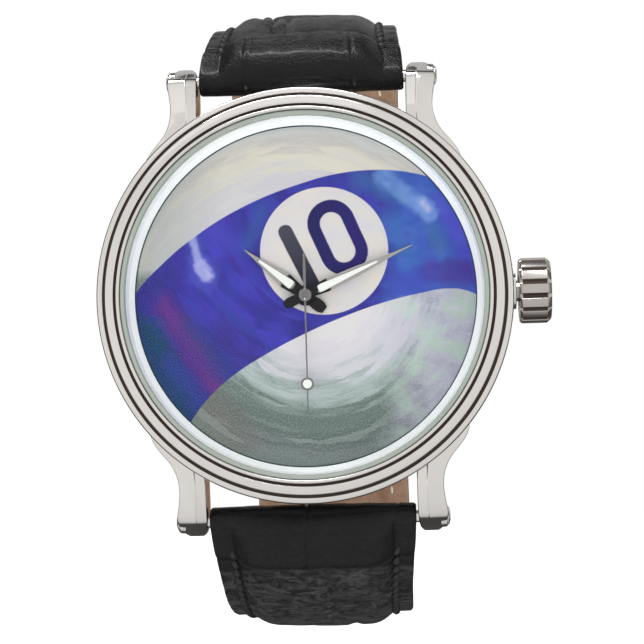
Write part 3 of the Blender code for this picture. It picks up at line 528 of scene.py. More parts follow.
def thread(name, dark, light, rough=0.6):
    """Waxed, twisted thread."""
    g = Graph(name)
    turned = g.map(g.mm, (1, 1, 1), (0.7, 0.6, 0.8))
    wave = g.node("ShaderNodeTexWave", Vector=turned, Scale=1.6, Distortion=0.6)
    fuzz = g.noise(g.mm, 7.0, 3, 0.6)
    colour = g.mix(wave.outputs["Fac"], dark, light)
    height = g.add(wave.outputs["Fac"], g.mul(fuzz, 0.4))
    return g.set(Base_Color=colour, Roughness=rough, Normal=g.bump(height, 0.00004, 0.6))


def lume(name):
    """Cast luminous paint with a fine grain."""
    g = Graph(name)
    grain = g.noise(g.mm, 6.0, 4, 0.6)
    colour = g.mix(grain, srgb(214, 220, 214), srgb(238, 241, 236))
    return g.set(Base_Color=colour, Roughness=0.75, Normal=g.bump(grain, 0.00001, 0.4))


def matt_ring(name, dark, light, broad_scale, grain_scale, rough, depth):
    """A slightly uneven lacquered or rubber ring."""
    g = Graph(name)
    grain = g.noise(g.mm, grain_scale, 3)
    colour = g.mix(g.noise(g.mm, broad_scale, 4), dark, light)
    return g.set(Base_Color=colour, Roughness=g.range(grain, 0.3, 0.7, *rough),
                 Normal=g.bump(grain, depth, 0.3))


class Painting:
    """Masks and brush strokes in dial millimetres: x to 3 o'clock, y to 12 o'clock."""

    def __init__(self, name):
        self.g = g = Graph(name)
        parts = g.split(g.mm)
        self.x, self.y = parts["X"], parts["Z"]
        self.flat = g.node("ShaderNodeCombineXYZ", X=self.x, Y=self.y).outputs[0]
        warp = g.node("ShaderNodeTexNoise", Vector=self.flat, Scale=0.9, Detail=4.0, Roughness=0.6)
        self.warp = self.vector("SUBTRACT", warp.outputs["Color"], (0.5, 0.5, 0.5))

    def vector(self, what, a, b=None, scale=None, out=0):
        made = self.g.nodes.new("ShaderNodeVectorMath")
        made.operation = what
        self.g.put(made.inputs[0], a)
        self.g.put(made.inputs[1], b)
        if scale is not None:
            self.g.put(made.inputs["Scale"], scale)
        return made.outputs[out]

    def shaken(self, by):
        return self.vector("ADD", self.flat, self.vector("SCALE", self.warp, scale=by))

    def stroke(self, start, end, shake=0.0):
        """Distance from the straight stroke between two points."""
        g = self.g
        point = self.shaken(shake) if shake else self.flat
        ahead = (end[0] - start[0], end[1] - start[1], 0)
        length = ahead[0] ** 2 + ahead[1] ** 2
        away = self.vector("SUBTRACT", point, (*start, 0))
        share = g.math("DIVIDE", self.vector("DOT_PRODUCT", away, ahead, out=1), length, clamp=True)
        left = self.vector("SUBTRACT", away, self.vector("SCALE", ahead, scale=share))
        return self.vector("LENGTH", left, out=1)

    def inside(self, distance, radius, soft=0.04):
        return self.g.range(distance, radius + soft, radius - soft)

    def edge(self, points, soft=0.035):
        """1 below the curve through the points and 0 above it."""
        g, size = self.g, PAINTING_HALF
        share = g.range(self.x, -size, size)
        made = g.node("ShaderNodeFloatCurve", Value=share)
        curve = made.mapping.curves[0]
        for i, (x, y) in enumerate(points):
            at = ((x + size) / (2 * size), (y + size) / (2 * size))
            if i < 2:
                curve.points[i].location = at
            else:
                curve.points.new(*at)
        made.mapping.update()
        height = g.scaled(made.outputs[0], 2 * size, -size)
        return g.range(g.math("SUBTRACT", self.y, height), soft, -soft)

    def rings(self, point, centre, across, along, seed):
        """Radius about a centre, and a texture place that is stretched along circles about it."""
        g = self.g
        away = self.vector("SUBTRACT", point, (*centre, 0))
        radius = self.vector("LENGTH", away, out=1)
        parts = g.split(away)
        turn = g.math("ARCTAN2", parts["Y"], parts["X"])
        spot = g.node("ShaderNodeCombineXYZ", X=g.mul(radius, across), Y=g.mul(turn, along), Z=seed)
        return radius, spot.outputs[0]

    def round_strokes(self, centre, across, along, seed):
        """Radius about a centre, and brush streaks drawn along circles about it."""
        radius, spot = self.rings(self.flat, centre, across, along, seed)
        return radius, self.g.noise(spot, 1.0, 5.0, 0.62, 0.3)

    def dabs(self, centre, across, along, seed):
        """Two random values for each crisp dab of paint laid along circles about a centre."""
        _, spot = self.rings(self.shaken(0.55), centre, across, along, seed)
        made = self.g.node("ShaderNodeTexVoronoi", Vector=spot, Scale=1.0)
        split = self.g.node("ShaderNodeSeparateColor", Color=made.outputs["Color"])
        return split.outputs[0], split.outputs[1]


def dial_painting(name):
    """A billiard ball filling the dial, in strokes: a blue band, white caps and a number disc."""
    p = Painting(name)
    g = p.g
    canvas = g.noise(p.flat, 5.5, 4, 0.65)
    patches = g.noise(p.shaken(1.6), 0.33, 3, 0.5)
    patches2 = g.noise(g.map(p.shaken(1.2), (0.6, 0.9, 1), (0, 0, 0.5), (7, 3, 0)), 0.55, 4, 0.55)

    # white caps, shaded like a lit ball by strokes along circles
    radius, streak = p.round_strokes((1.2, 1.4), 0.75, 1.6, 2.0)
    _, fine = p.round_strokes((1.2, 1.4), 3.2, 5.0, 9.0)
    depth = g.add(radius, g.scaled(streak, 5.0, -2.5))
    depth = g.add(depth, g.scaled(fine, 1.5, -0.75))
    dab, dab2 = p.dabs((1.2, 1.4), 1.7, 2.3, 3.0)
    depth = g.add(depth, g.scaled(dab, 1.9, -0.95))
    low_cap = g.ramp(g.range(depth, 5.0, 18.0), [
        (0.0, srgb(213, 212, 214)), (0.14, srgb(208, 206, 213)), (0.30, srgb(196, 197, 206)),
        (0.40, srgb(168, 181, 181)), (0.50, srgb(137, 153, 149)), (0.60, srgb(101, 117, 112)),
        (0.76, srgb(92, 107, 104)), (0.90, srgb(116, 127, 128)), (1.0, srgb(122, 140, 132))])
    side = g.range(g.add(p.x, g.scaled(patches2, 7.0, -3.5)), 6.5, 11.5)
    right_tone = g.ramp(patches2, [(0.3, srgb(160, 160, 182)), (0.48, srgb(183, 182, 201)),
                                   (0.62, srgb(176, 198, 188)), (0.75, srgb(196, 197, 207))])
    low_cap = g.mix(g.mul(side, 0.8), low_cap, right_tone)
    left_tone = g.range(p.stroke((-10.5, -9.5), (-7.0, -13.6), 2.5), 3.0, 0.6)
    low_cap = g.mix(g.mul(left_tone, 0.55), low_cap, srgb(112, 108, 104))
    low_cap = g.mix(g.mul(g.range(dab2, 0.80, 0.84), 0.16), low_cap, srgb(186, 206, 196))

    radius, streak = p.round_strokes((-0.5, -3.5), 0.6, 2.4, 14.0)
    depth = g.add(radius, g.scaled(streak, 4.0, -2.0))
    dab, dab2 = p.dabs((-0.5, -3.5), 1.5, 3.0, 6.0)
    depth = g.add(depth, g.scaled(dab, 1.6, -0.8))
    top_cap = g.ramp(g.range(depth, 10.0, 20.0), [
        (0.0, srgb(206, 204, 203)), (0.2, srgb(203, 202, 204)), (0.42, srgb(196, 196, 203)),
        (0.58, srgb(202, 201, 203)), (0.70, srgb(212, 209, 196)), (0.82, srgb(190, 188, 186)),
        (0.92, srgb(196, 199, 197)), (1.0, srgb(186, 191, 190))])
    left = g.range(g.add(p.x, g.scaled(patches, 5.0, -2.5)), -7.5, -13.0)
    top_cap = g.mix(g.mul(left, 0.6), top_cap, srgb(166, 172, 170))
    top_cap = g.mix(g.mul(g.range(dab2, 0.76, 0.80), 0.14), top_cap, srgb(224, 222, 208))
    white = g.mix(g.range(p.y, 2.0, 3.0), low_cap, top_cap)
    white = g.mix(g.mul(g.range(canvas, 0.45, 0.75), 0.22), white, srgb(226, 225, 222))

    # the blue band
    _, streak = p.round_strokes((6.0, 12.0), 0.9, 5.5, 5.0)
    blue = g.ramp(patches, [(0.30, srgb(64, 62, 148)), (0.44, srgb(74, 68, 165)),
                            (0.52, srgb(82, 77, 182)), (0.62, srgb(76, 82, 186)),
                            (0.75, srgb(92, 84, 186))])
    blue = g.mix(g.mul(g.range(streak, 0.42, 0.7), 0.35), blue, srgb(66, 84, 160))
    dab, dab2 = p.dabs((6.0, 12.0), 1.3, 4.5, 1.0)
    dabbed = g.ramp(dab, [(0.0, srgb(40, 40, 100)), (0.35, srgb(54, 52, 130)),
                          (0.6, srgb(72, 66, 168)), (0.8, srgb(50, 66, 136)),
                          (1.0, srgb(60, 46, 122))])
    blue = g.mix(0.52, blue, dabbed)
    right_blue = g.range(g.add(p.x, g.scaled(patches2, 6.0, -3.0)), 6.2, 9.5)
    light_blue = g.ramp(patches2, [(0.32, srgb(66, 96, 170)), (0.48, srgb(72, 104, 186)),
                                   (0.6, srgb(84, 118, 192)), (0.72, srgb(82, 84, 190))])
    blue = g.mix(g.mul(right_blue, 0.8), blue, light_blue)
    tones = [
        # start, end, half width, softness, strength, colour
        ((-14.0, -5.0), (-9.0, -9.5), 3.2, 2.2, 0.5, srgb(52, 52, 112)),
        ((-15.5, -3.5), (-12.5, -10.5), 1.9, 0.9, 0.85, srgb(42, 76, 106)),
        ((-13.6, -0.5), (-8.6, -8.6), 1.0, 0.7, 0.75, srgb(104, 60, 128)),
        ((-11.2, -2.6), (-7.6, -7.6), 0.9, 0.8, 0.6, srgb(60, 70, 124)),
        ((-8.0, -3.0), (-5.0, -6.0), 1.2, 1.0, 0.7, srgb(66, 60, 132)),
        ((-15.6, 0.5), (-13.0, 2.5), 1.1, 0.9, 0.7, srgb(62, 56, 128)),
        ((-13.2, -6.2), (-9.5, -11.0), 0.8, 0.7, 0.6, srgb(62, 74, 150)),
        ((-5.6, 4.9), (-3.9, 8.6), 0.6, 0.5, 0.55, srgb(66, 96, 160)),
        ((-9.4, 8.0), (-8.0, 5.6), 1.3, 1.0, 0.4, srgb(92, 84, 196)),
        ((5.6, 10.9), (9.4, 9.6), 0.9, 0.7, 0.55, srgb(70, 112, 160)),
        ((8.3, 7.2), (10.2, 3.2), 0.8, 0.6, 0.5, srgb(66, 110, 172)),
        ((12.2, 6.0), (13.0, 4.2), 0.6, 0.5, 0.6, srgb(74, 112, 160)),
        ((14.6, 6.5), (16.2, 1.0), 1.0, 0.7, 0.7, srgb(84, 80, 188)),
        ((12.8, 8.9), (14.8, 5.6), 0.6, 0.5, 0.6, srgb(92, 88, 200)),
        ((12.2, 2.0), (15.2, 1.6), 1.2, 0.5, 0.8, srgb(74, 62, 142)),
        ((9.4, 0.6), (11.4, 1.4), 1.0, 0.8, 0.5, srgb(76, 78, 176)),
        ((7.6, 11.3), (11.5, 8.0), 0.75, 0.35, 0.75, srgb(116, 150, 208)),
        ((11.4, 8.6), (12.2, 7.4), 0.75, 0.25, 0.8, srgb(128, 160, 220)),
        ((11.45, 8.55), (11.9, 7.9), 0.32, 0.16, 0.85, srgb(176, 184, 222)),
        ((-11.0, 7.0), (-10.2, 3.8), 0.5, 0.4, 0.7, srgb(104, 112, 200)),
        ((-9.8, 2.9), (-9.5, 2.1), 1.2, 0.5, 0.6, srgb(98, 102, 200)),
        ((-10.85, 6.2), (-10.1, 3.4), 0.34, 0.16, 0.9, srgb(160, 166, 218)),
        ((-9.9, 3.0), (-9.5, 2.3), 0.72, 0.2, 0.9, srgb(166, 170, 220)),
    ]
    for start, end, half, soft, strength, colour in tones:
        reach = g.range(p.stroke(start, end, min(1.8, half * 1.4)), half + soft, half - soft)
        strength = g.scaled(dab2, 0.45 * strength, 0.78 * strength)
        blue = g.mix(g.math("MULTIPLY", reach, strength, clamp=True), blue, colour)
    blue = g.mix(g.mul(g.range(canvas, 0.5, 0.8), 0.2), blue, srgb(104, 104, 196))

    upper = [(-17, -0.6), (-16.07, 0.98), (-13.6, 3.5), (-10.86, 5.71), (-5.9, 8.64), (0.28, 10.9),
             (3.71, 11.65), (7.13, 11.85), (9.7, 11.61), (12.24, 10.97), (17, 9.2)]
    lower = [(-17, -17), (-12.4, -13.6), (-11.3, -11.78), (-9.83, -9.83), (-7.32, -7.58),
             (-4.09, -5.58), (-0.13, -3.62), (3.82, -2.03), (7.76, -0.79), (11.2, -0.04),
             (13.41, 0.27), (15.11, 0.1), (17, -0.8)]
    band = g.mul(p.edge(upper), g.math("SUBTRACT", 1.0, p.edge(lower)))
    colour = g.mix(band, white, blue)

    # number disc
    disc = p.inside(p.stroke((1.89, 4.25), (1.9, 4.25)), 6.12, 0.035)
    mottled = g.mix(g.range(patches2, 0.35, 0.7), srgb(213, 209, 203), srgb(203, 203, 211))
    mottled = g.mix(g.mul(g.range(canvas, 0.45, 0.75), 0.3), mottled, srgb(224, 220, 210))
    colour = g.mix(disc, colour, mottled)
    one = p.inside(p.stroke((-1.75, 6.15), (0.75, 0.9), 0.10), 0.70, 0.05)
    grey = g.mix(g.range(p.y, 2.0, 6.0), srgb(50, 52, 66), srgb(70, 72, 84))
    colour = g.mix(one, colour, grey)
    loop = g.math("ABSOLUTE", g.math("SUBTRACT", p.stroke((2.64, 6.85), (3.80, 4.15), 0.10), 1.68))
    ink = g.mix(g.range(p.x, 1.0, 5.0), srgb(44, 42, 92), srgb(50, 44, 108))
    colour = g.mix(p.inside(loop, 0.60, 0.05), colour, ink)

    # the thin dark line where the printing ends
    rim = g.range(p.stroke((0, 0), (0.01, 0)), 16.22, 16.28)
    colour = g.mix(rim, colour, srgb(38, 66, 72))
    relief = g.add(canvas, g.mul(fine, 0.6))
    colour = g.node("ShaderNodeHueSaturation", Color=colour, Value=0.94, Saturation=1.04).outputs[0]
    return g.set(Base_Color=colour, Roughness=g.range(canvas, 0.3, 0.7, 0.5, 0.62),
                 Normal=g.bump(relief, 0.00001, 0.35), Specular_IOR_Level=0.06)


# ---------------------------------------------------------------- case, bezel, glass and crown

polished = steel("polished_steel")
case_steel = steel("case_steel", rough=0.06)
bezel_steel = steel("bezel_steel", rough=0.09, shaded_parts=bezel_groove_shade)
# painted shade: the hands' steel is darker than the case's, standing in for their thin dark
# outlines
hand_steel = steel("hand_steel", (0.46, 0.45, 0.44), 0.14, hand_hub_shade, HUB_SHADE_COLOUR)
needle_steel = steel("needle_steel", (0.26, 0.25, 0.25), 0.14)
back_steel = brushed("brushed_steel")
crown_steel = steel("crown_steel", (0.56, 0.53, 0.505), 0.24, crown_flute_shade)
glass = clear_glass("crystal_glass")
rehaut_look = matt_ring("rehaut_lacquer", srgb(232, 238, 241), srgb(246, 249, 250), 0.25, 5.0,
                   (0.28, 0.42), 0.000006)
seal_look = matt_ring("seal_ring", srgb(142, 153, 144), srgb(166, 172, 164), 0.3, 6.0,
                 (0.4, 0.55), 0.000008)
leather = black_leather("black_crocodile_leather")
keeper_leather = black_leather("keeper_leather", 0.7, tiled=False)
lining = tan_leather("tan_lining_leather")
black_thread = thread("black_thread", (0.004, 0.004, 0.004), (0.016, 0.016, 0.017), 0.5)
light_thread = thread("light_thread", srgb(200, 190, 172), srgb(232, 225, 210))


def smooth_stations(rows, count):
    """Catmull-Rom between rows of numbers."""
    made = []
    last = len(rows) - 1
    for k in range(count + 1):
        at = last * k / count
        i = min(int(at), last - 1)
        t = at - i
        a, b, c, d = (np.array(rows[max(0, min(last, i + j))], float) for j in (-1, 0, 1, 2))
        made.append(0.5 * (2 * b + (c - a) * t + (2 * a - 5 * b + 4 * c - d) * t**2
                           + (3 * b - a - 3 * c + d) * t**3))
    return made


def add_lug(shape, side, end):
    """A lug with a wide outer facet and a narrow inner one that meet in a fine ridge."""
    rows = smooth_stations([
        # y, inner x, outer x, bottom z, top z
        (11.6, 0.0, 5.00, 1.6, 6.3), (12.8, 0.0, 5.20, 1.4, 6.3), (13.8, 0.0, 4.85, 1.25, 6.3),
        (14.7, 0.0, 4.20, 1.12, 6.3), (15.6, 0.0, 3.45, 1.0, 6.25), (16.5, 0.0, 2.95, 0.94, 6.18),
        (17.5, 0.0, 2.66, 0.86, 6.05), (18.6, 0.0, 2.60, 0.75, 5.85), (19.8, 0.0, 2.74, 0.6, 5.5),
        (20.9, 0.02, 2.95, 0.5, 5.05), (21.45, 0.04, 2.92, 0.52, 4.7), (21.75, 0.08, 2.84, 0.56,
                                                                        4.25),
        (22.2, 0.16, 2.62, 0.74, 3.5), (22.55, 0.32, 2.36, 0.98, 2.85), (22.8, 0.6, 2.0, 1.3, 2.35),
    ], 48)
    loops = []
    for y, inner, outer, low, high in rows:
        ridge = inner + min(1.05, (outer - inner) * 0.37)
        tall = high - low
        fall = min(1, tall / 3)
        section = [
            (inner + 0.25, low), (outer - 0.35, low), (outer, low + tall * 0.40),
            (outer - 0.04, high - 0.34 * fall), (ridge + 0.05, high), (ridge - 0.05,
                                                                       high - 0.10 * fall),
            (inner + 0.02, high - 0.30 * fall), (inner, low + tall * 0.1),
        ]
        section = soft_profile([(x + 5, z) for x, z in section], 0.14, 3)
        loops.append([(side * (LUG_GAP / 2 + x - 5), end * y, z) for x, z in section])
    loft(shape, loops)


def build_case_pieces():
    shape = bmesh.new()
    ring = [
        (CASE_R - 0.4, 6.4), (CASE_R - 0.05, 6.15), (CASE_R, 5.8), (CASE_R, 3.2),
        (CASE_R - 0.25, 1.9), (CASE_R - 0.8, 0.95), (16.9, 0.95), (16.9, 6.4),
    ]
    lathe(shape, soft_profile(ring, 0.16, 3), 192)
    collar = [(1.06, 18.2), (1.75, 18.2), (1.75, 20.15), (1.06, 20.15)]
    for side in (-1, 1):
        for end in (-1, 1):
            add_lug(shape, side, end)
    lathe(shape, soft_profile(collar, 0.1), 64, along_x(0, 0, STEM_Z))
    boss = [(0.68, 12.3), (1.12, 12.3), (1.08, 12.85), (1.0, 12.96), (0.68, 12.96)]
    for side in (-1, 1):
        for end in (-1, 1):
            sided = soft_profile([(r, side * x) for r, x in boss], 0.06)
            lathe(shape, sided, 48, along_x(0, end * BAR_Y, BAR_Z))
    piece("case_with_lugs", shape, case_steel, "case", ["case_middle"], 32)

    bezel = [
        (17.5, 9.24), (17.58, 9.36), (17.80, 9.33), (17.87, 9.22), (17.90, 8.90), (18.07, 8.88),
        (18.10, 9.16), (18.18, 9.22), (18.84, 9.04), (18.93, 8.94), (18.96, 8.44), (19.15, 8.40),
        (19.18, 8.66), (19.26, 8.74), (19.66, 8.60), (19.77, 8.46), (19.80, 8.26), (19.80, 6.85),
        (19.73, 6.6), (19.5, 6.46), (17.5, 6.46),
    ]
    low, high = 8.15, 9.9
    dome = [(r, high - 0.45 * (r / 16.75) ** 2) for r in np.linspace(0, 16.6, 14)]
    dome += [(16.8, high - 0.5), (16.93, high - 0.6), (17.0, high - 0.78), (17.0, low), (0, low)]
    seal = [(17.03, 8.2), (17.46, 8.2), (17.46, 9.14), (17.40, 9.2), (17.12, 9.2), (17.03, 9.12)]
    slope = [(17.43, 8.1), (17.43, 6.5), (16.35, 6.5), (16.38, 6.62), (16.88, 7.02), (17.0, 8.1)]
    disc = [(0.85, 6.0), (DIAL_R, 6.0), (DIAL_R, 6.4), (0.85, 6.4)]
    painting = dial_painting("dial_painting")
    turned = [
        # piece, profile, steps round, look, node, slot, smoothing angle
        ("stepped_bezel", soft_profile(bezel, 0.045, 2), 256, bezel_steel, "bezel",
         "polished_case", 60),
        ("domed_crystal", dome, 160, glass, "crystal", "crystal", 28),
        ("crystal_seal", soft_profile(seal, 0.05), 160, seal_look, "crystal_gasket",
         "crystal_seal", 35),
        ("sloped_rehaut", soft_profile(slope, 0.05), 192, rehaut_look, "rehaut_ring",
         "rehaut", 35),
        ("printed_dial", disc, 192, painting, "dial", "dial_print", 35),
    ]
    for name, profile, steps, look, node, slot, angle in turned:
        piece(name, lathe(bmesh.new(), profile, steps), look, "case", [node], angle)

    shape = bmesh.new()
    back = [
        (0, 0.95), (15.6, 0.95), (15.6, 1.95), (16.3, 1.95), (16.3, 0.9), (17.7, 0.9),
        (17.7, 0.6), (15.95, 0.05), (15.8, 0), (15.1, 0), (15.03, 0.07), (14.93, 0.07),
        (14.86, 0), (9.2, 0), (9.14, 0.05), (9.06, 0.05), (9.0, 0), (0, 0),
    ]
    lathe(shape, soft_profile(back, 0.04, 2), 192)
    notch = box_tool((3.4, 1.0, 0.7), Matrix.Translation((0, -17.4, 0.35)))
    piece("snap_case_back", worked(shape, [notch]), back_steel, "case", ["case_back"],
          30)

    head = [(0, 13.24), (0.4, 13.22), (0.72, 13.15), (0.92, 13.03), (0.92, 12.98), (0.6, 12.98)]
    bar = [(r, -x) for r, x in head] + [(0.6, 12.0), (0, 12.0)]
    screw = head + [(0.6, 12.05), (0, 12.05)]
    for name, end in (("12", 1), ("6", -1)):
        place = along_x(0, end * BAR_Y, BAR_Z)
        piece(f"lug_bar_{name}_turned", lathe(bmesh.new(), bar, 48, place), polished, "case",
              [f"lug_bar_{name}"])
        slot = box_tool((0.2, 3, 0.42), place @ Matrix.Translation((0, 0, 13.3))
                        @ Matrix.Rotation(0.6 * end, 4, "Z"))
        piece(f"lug_screw_{name}_slotted", worked(lathe(bmesh.new(), screw, 48, place), [slot]),
              polished, "case", [f"lug_screw_{name}"], 30)


def build_crown_piece():
    """Fourteen flat ridges between narrow round grooves, chamfered at both ends."""
    start, end, rim = CROWN_START, CROWN_END, CROWN_R + 0.1

    def radius_at(radius, height, angle):
        if radius < 2.2 or height < start:
            return radius
        step = tau / FLUTES
        near = (angle / step - 0.5 - round(angle / step - 0.5)) * step
        across = rim * sin(abs(near))
        if across >= FLUTE_R:
            return radius
        return min(radius, rim * cos(near) - sqrt(FLUTE_R**2 - across**2))

    profile = [
        (0, end), (2.2, end - 0.01), (2.72, end - 0.03), (2.82, end - 0.08), (3.08, end - 0.36),
        (CROWN_R, end - 0.46), (CROWN_R, start + 0.26), (CROWN_R - 0.05, start + 0.14),
        (CROWN_R - 0.2, start), (1.5, start), (1.5, 22.6), (0.52, 22.6), (0.52, 23.2), (0, 23.2),
    ]
    shape = lathe(bmesh.new(), profile, FLUTES * 20, along_x(0, 0, STEM_Z), radius_at)
    piece("fluted_crown", shape, crown_steel, "crown_and_stem", ["crown"], 30)


def spun(points, angle):
    """Points of a hand that points to 12, turned clockwise by an angle."""
    turn = Matrix.Rotation(-angle, 2)
    return [tuple(turn @ Vector(p)) for p in points]


def lance_outline(tip, tail, half, bulge):
    """A lance hand with its widest place at the bulge and a short tail."""
    right = [(0.04, tip), (half * 0.22, tip * 0.84), (half * 0.5, tip * 0.66),
             (half * 0.82, tip * 0.46), (half, bulge), (half * 0.8, bulge * 0.5),
             (half * 0.6, 0.35), (half * 0.6, -0.35), (half * 0.8, -tail * 0.55),
             (half * 0.78, -tail * 0.8), (half * 0.5, -tail)]
    return mirrored(right)


def mirrored(right):
    return right + [(-x, y) for x, y in right[::-1]]


def lance_hand(name, node, body, angle, points, low, high, hub, bore, window):
    """A hand with a window for its luminous fill and a collar on its hub."""
    base, half_base, top, half_top = window
    hole = mirrored([(half_base * 0.55, base - 0.18), (half_base * 0.95, base + 0.1),
                     (half_base, base + 0.45), (half_top * 0.9, top - 0.15),
                     (half_top * 0.4, top + 0.05)])
    opening = extruded(spun(hole, angle), low - 1, high + 1)
    plate = worked(extruded(spun(points, angle), low, high),
                   [opening, cylinder(hub - 0.05, low - 1, high + 1)], 0.04)
    collar = worked(cylinder(hub, low - 0.05, high + 0.02),
                    [cylinder(bore, low - 1, high + 1, 32)], 0.03)
    mesh = bpy.data.meshes.new("joined")
    collar.to_mesh(mesh)
    collar.free()
    plate.from_mesh(mesh)
    bpy.data.meshes.remove(mesh)
    piece(name, plate, hand_steel, body, [node], 25)


def build_hand_pieces():
    lance_hand("hour_hand_lance", "hour_hand", "hours", HOUR_ANGLE,
               lance_outline(7.3, 2.3, 0.74, 2.3), 6.55, 6.7, 0.98, 0.72, (1.55, 0.46, 5.6, 0.13))
    lance_hand("minute_hand_lance", "minute_hand", "minutes", MINUTE_ANGLE,
               lance_outline(11.3, 2.2, 0.62, 2.2), 6.88, 7.02, 0.75, 0.48, (1.35, 0.4, 7.6, 0.11))

    needle = mirrored([(0.05, 11.2), (0.07, 4), (0.10, 0.3), (0.10, -0.3), (0.15, -2),
                       (0.12, -4.0)])
    eye = Matrix.Translation((*spun([(0, 8.45)], SECOND_ANGLE)[0], 0))
    arm = worked(extruded(spun(needle, SECOND_ANGLE), 7.3, 7.42),
                 [cylinder(0.6, 7, 8, 32), cylinder(0.58, 7, 8, 32, eye)], 0.025, 1)
    ring = [(0.44, 7.28), (0.62, 7.28), (0.62, 7.44), (0.44, 7.44)]
    lathe(arm, soft_profile(ring, 0.03), 48, eye)
    lathe(arm,
          [(0, 7.2), (0.63, 7.2), (0.63, 7.42), (0.58, 7.48), (0.4, 7.5), (0.34, 7.46),
           (0.26, 7.46),
                (0.22, 7.5), (0.1, 7.52), (0, 7.52)], 48)
    piece("seconds_needle", arm, needle_steel, "seconds", ["seconds_hand"], 25)


build_case_pieces()
build_crown_piece()
build_hand_pieces()


# ---------------------------------------------------------------- strap


def curve_through(points, spacing):
    """Evenly spaced points and running lengths on a smooth curve through the given points."""
    dense = []
    for i in range(len(points) - 1):
        a, b = Vector(points[i]), Vector(points[i + 1])
        before = Vector(points[i - 1]) if i else a * 2 - b
        after = Vector(points[i + 2]) if i + 2 < len(points) else b * 2 - a
        for step in range(12):
            t = step / 12
            dense.append(
                0.5 * (2 * a + (b - before) * t + (2 * before - 5 * a + 4 * b - after) * t**2
                       + (3 * a - before - 3 * b + after) * t**3)
            )
    dense.append(Vector(points[-1]))
    lengths = [0.0]
    for a, b in zip(dense, dense[1:]):
        lengths.append(lengths[-1] + (b - a).length)
    count = round(lengths[-1] / spacing)
    made, i = [], 1
    for k in range(count + 1):
        target = lengths[-1] * k / count
        while i < len(lengths) - 1 and lengths[i] < target - 1e-9:
            i += 1
        share = (target - lengths[i - 1]) / (lengths[i] - lengths[i - 1])
        made.append((target, dense[i - 1].lerp(dense[i], share)))
    return made


def arc_point(radius, angle):
    return -BAR_Y + radius * sin(angle), BAR_Z - radius * cos(angle)


def long_strap_path():
    corner = 11.0
    centre = (-BAR_Y, BAR_Z - (TAIL_ARC_R - corner))
    points = [(-BAR_Y, BAR_Z), (-24.9, 0.9), (-28.5, -4.0), (-30.9, -11.0), (-32.0, -20.0),
              (-BAR_Y - corner, -30.0)]
    for step in range(5):
        angle = step * pi / 8
        points.append((centre[0] - corner * cos(angle), centre[1] - corner * sin(angle)))
    points += [arc_point(TAIL_ARC_R, radians(a)) for a in range(8, 64, 8)]
    return points


def short_strap_path():
    points = [(BAR_Y, BAR_Z), (24.3, 0.8), (26.9, -4.2), (28.4, -10.5), (28.9, -16.5)]
    points += [arc_point(BUCKLE_ARC_R, radians(a)) for a in range(62, 16, -9)]
    points.append(arc_point(BUCKLE_ARC_R, BUCKLE_ANGLE))
    return points


def width_at(run, total, pointed):
    width = STRAP_WIDTH + (BUCKLE_WIDTH - STRAP_WIDTH) * min(1.0, run / 70)
    width += 0.2 * max(0.0, 1 - run / 5) - 0.75 * min(1.0, run / 9) * max(0.0, 1 - run / 80)
    left = total - run
    if pointed and left < 9:
        width *= max(0.2, sqrt(1 - (1 - left / 9) ** 2))
    return width


def thickness_at(run, thin):
    share = min(1.0, max(0.0, (run - 12) / 40))
    return 3.9 + (thin - 3.9) * share if run > 4 else 2 * ROLL_R + 0.3 * run


class Strap:
    """One half of the strap: stations along its middle line, with helpers in strap coordinates."""

    def __init__(self, points, outward, thin, pointed, spacing=0.27):
        path = curve_through(points, spacing)
        self.run = np.array([r for r, _ in path])
        self.place = np.array([tuple(p) for _, p in path])
        along = np.gradient(self.place, axis=0)
        window = 9
        kernel = np.ones(window) / window
        padded = np.pad(along, ((window // 2, window // 2), (0, 0)), "edge")
        along = np.stack([np.convolve(padded[:, k], kernel, "valid") for k in (0, 1)], 1)
        along /= np.linalg.norm(along, axis=1, keepdims=True)
        self.out = np.stack([-along[:, 1], along[:, 0]], 1) * outward
        self.total = self.run[-1]
        self.half = np.array([width_at(r, self.total, pointed) / 2 for r in self.run])
        self.thick = np.array([thickness_at(r, thin) for r in self.run])

    def at(self, x, run, offset):
        """Watch coordinates of points given by place across, length along and height outward."""
        y, z = (np.interp(run, self.run, self.place[:, k])
                + np.interp(run, self.run, self.out[:, k]) * offset for k in (0, 1))
        return np.stack([x + 0 * y, y, z], -1)

    def basis(self, run):
        """Across, along and outward directions at a length."""
        out = Vector((0, *(np.interp(run, self.run, self.out[:, k]) for k in (0, 1))))
        out.normalize()
        across = Vector((1, 0, 0))
        return across, out.cross(across), out


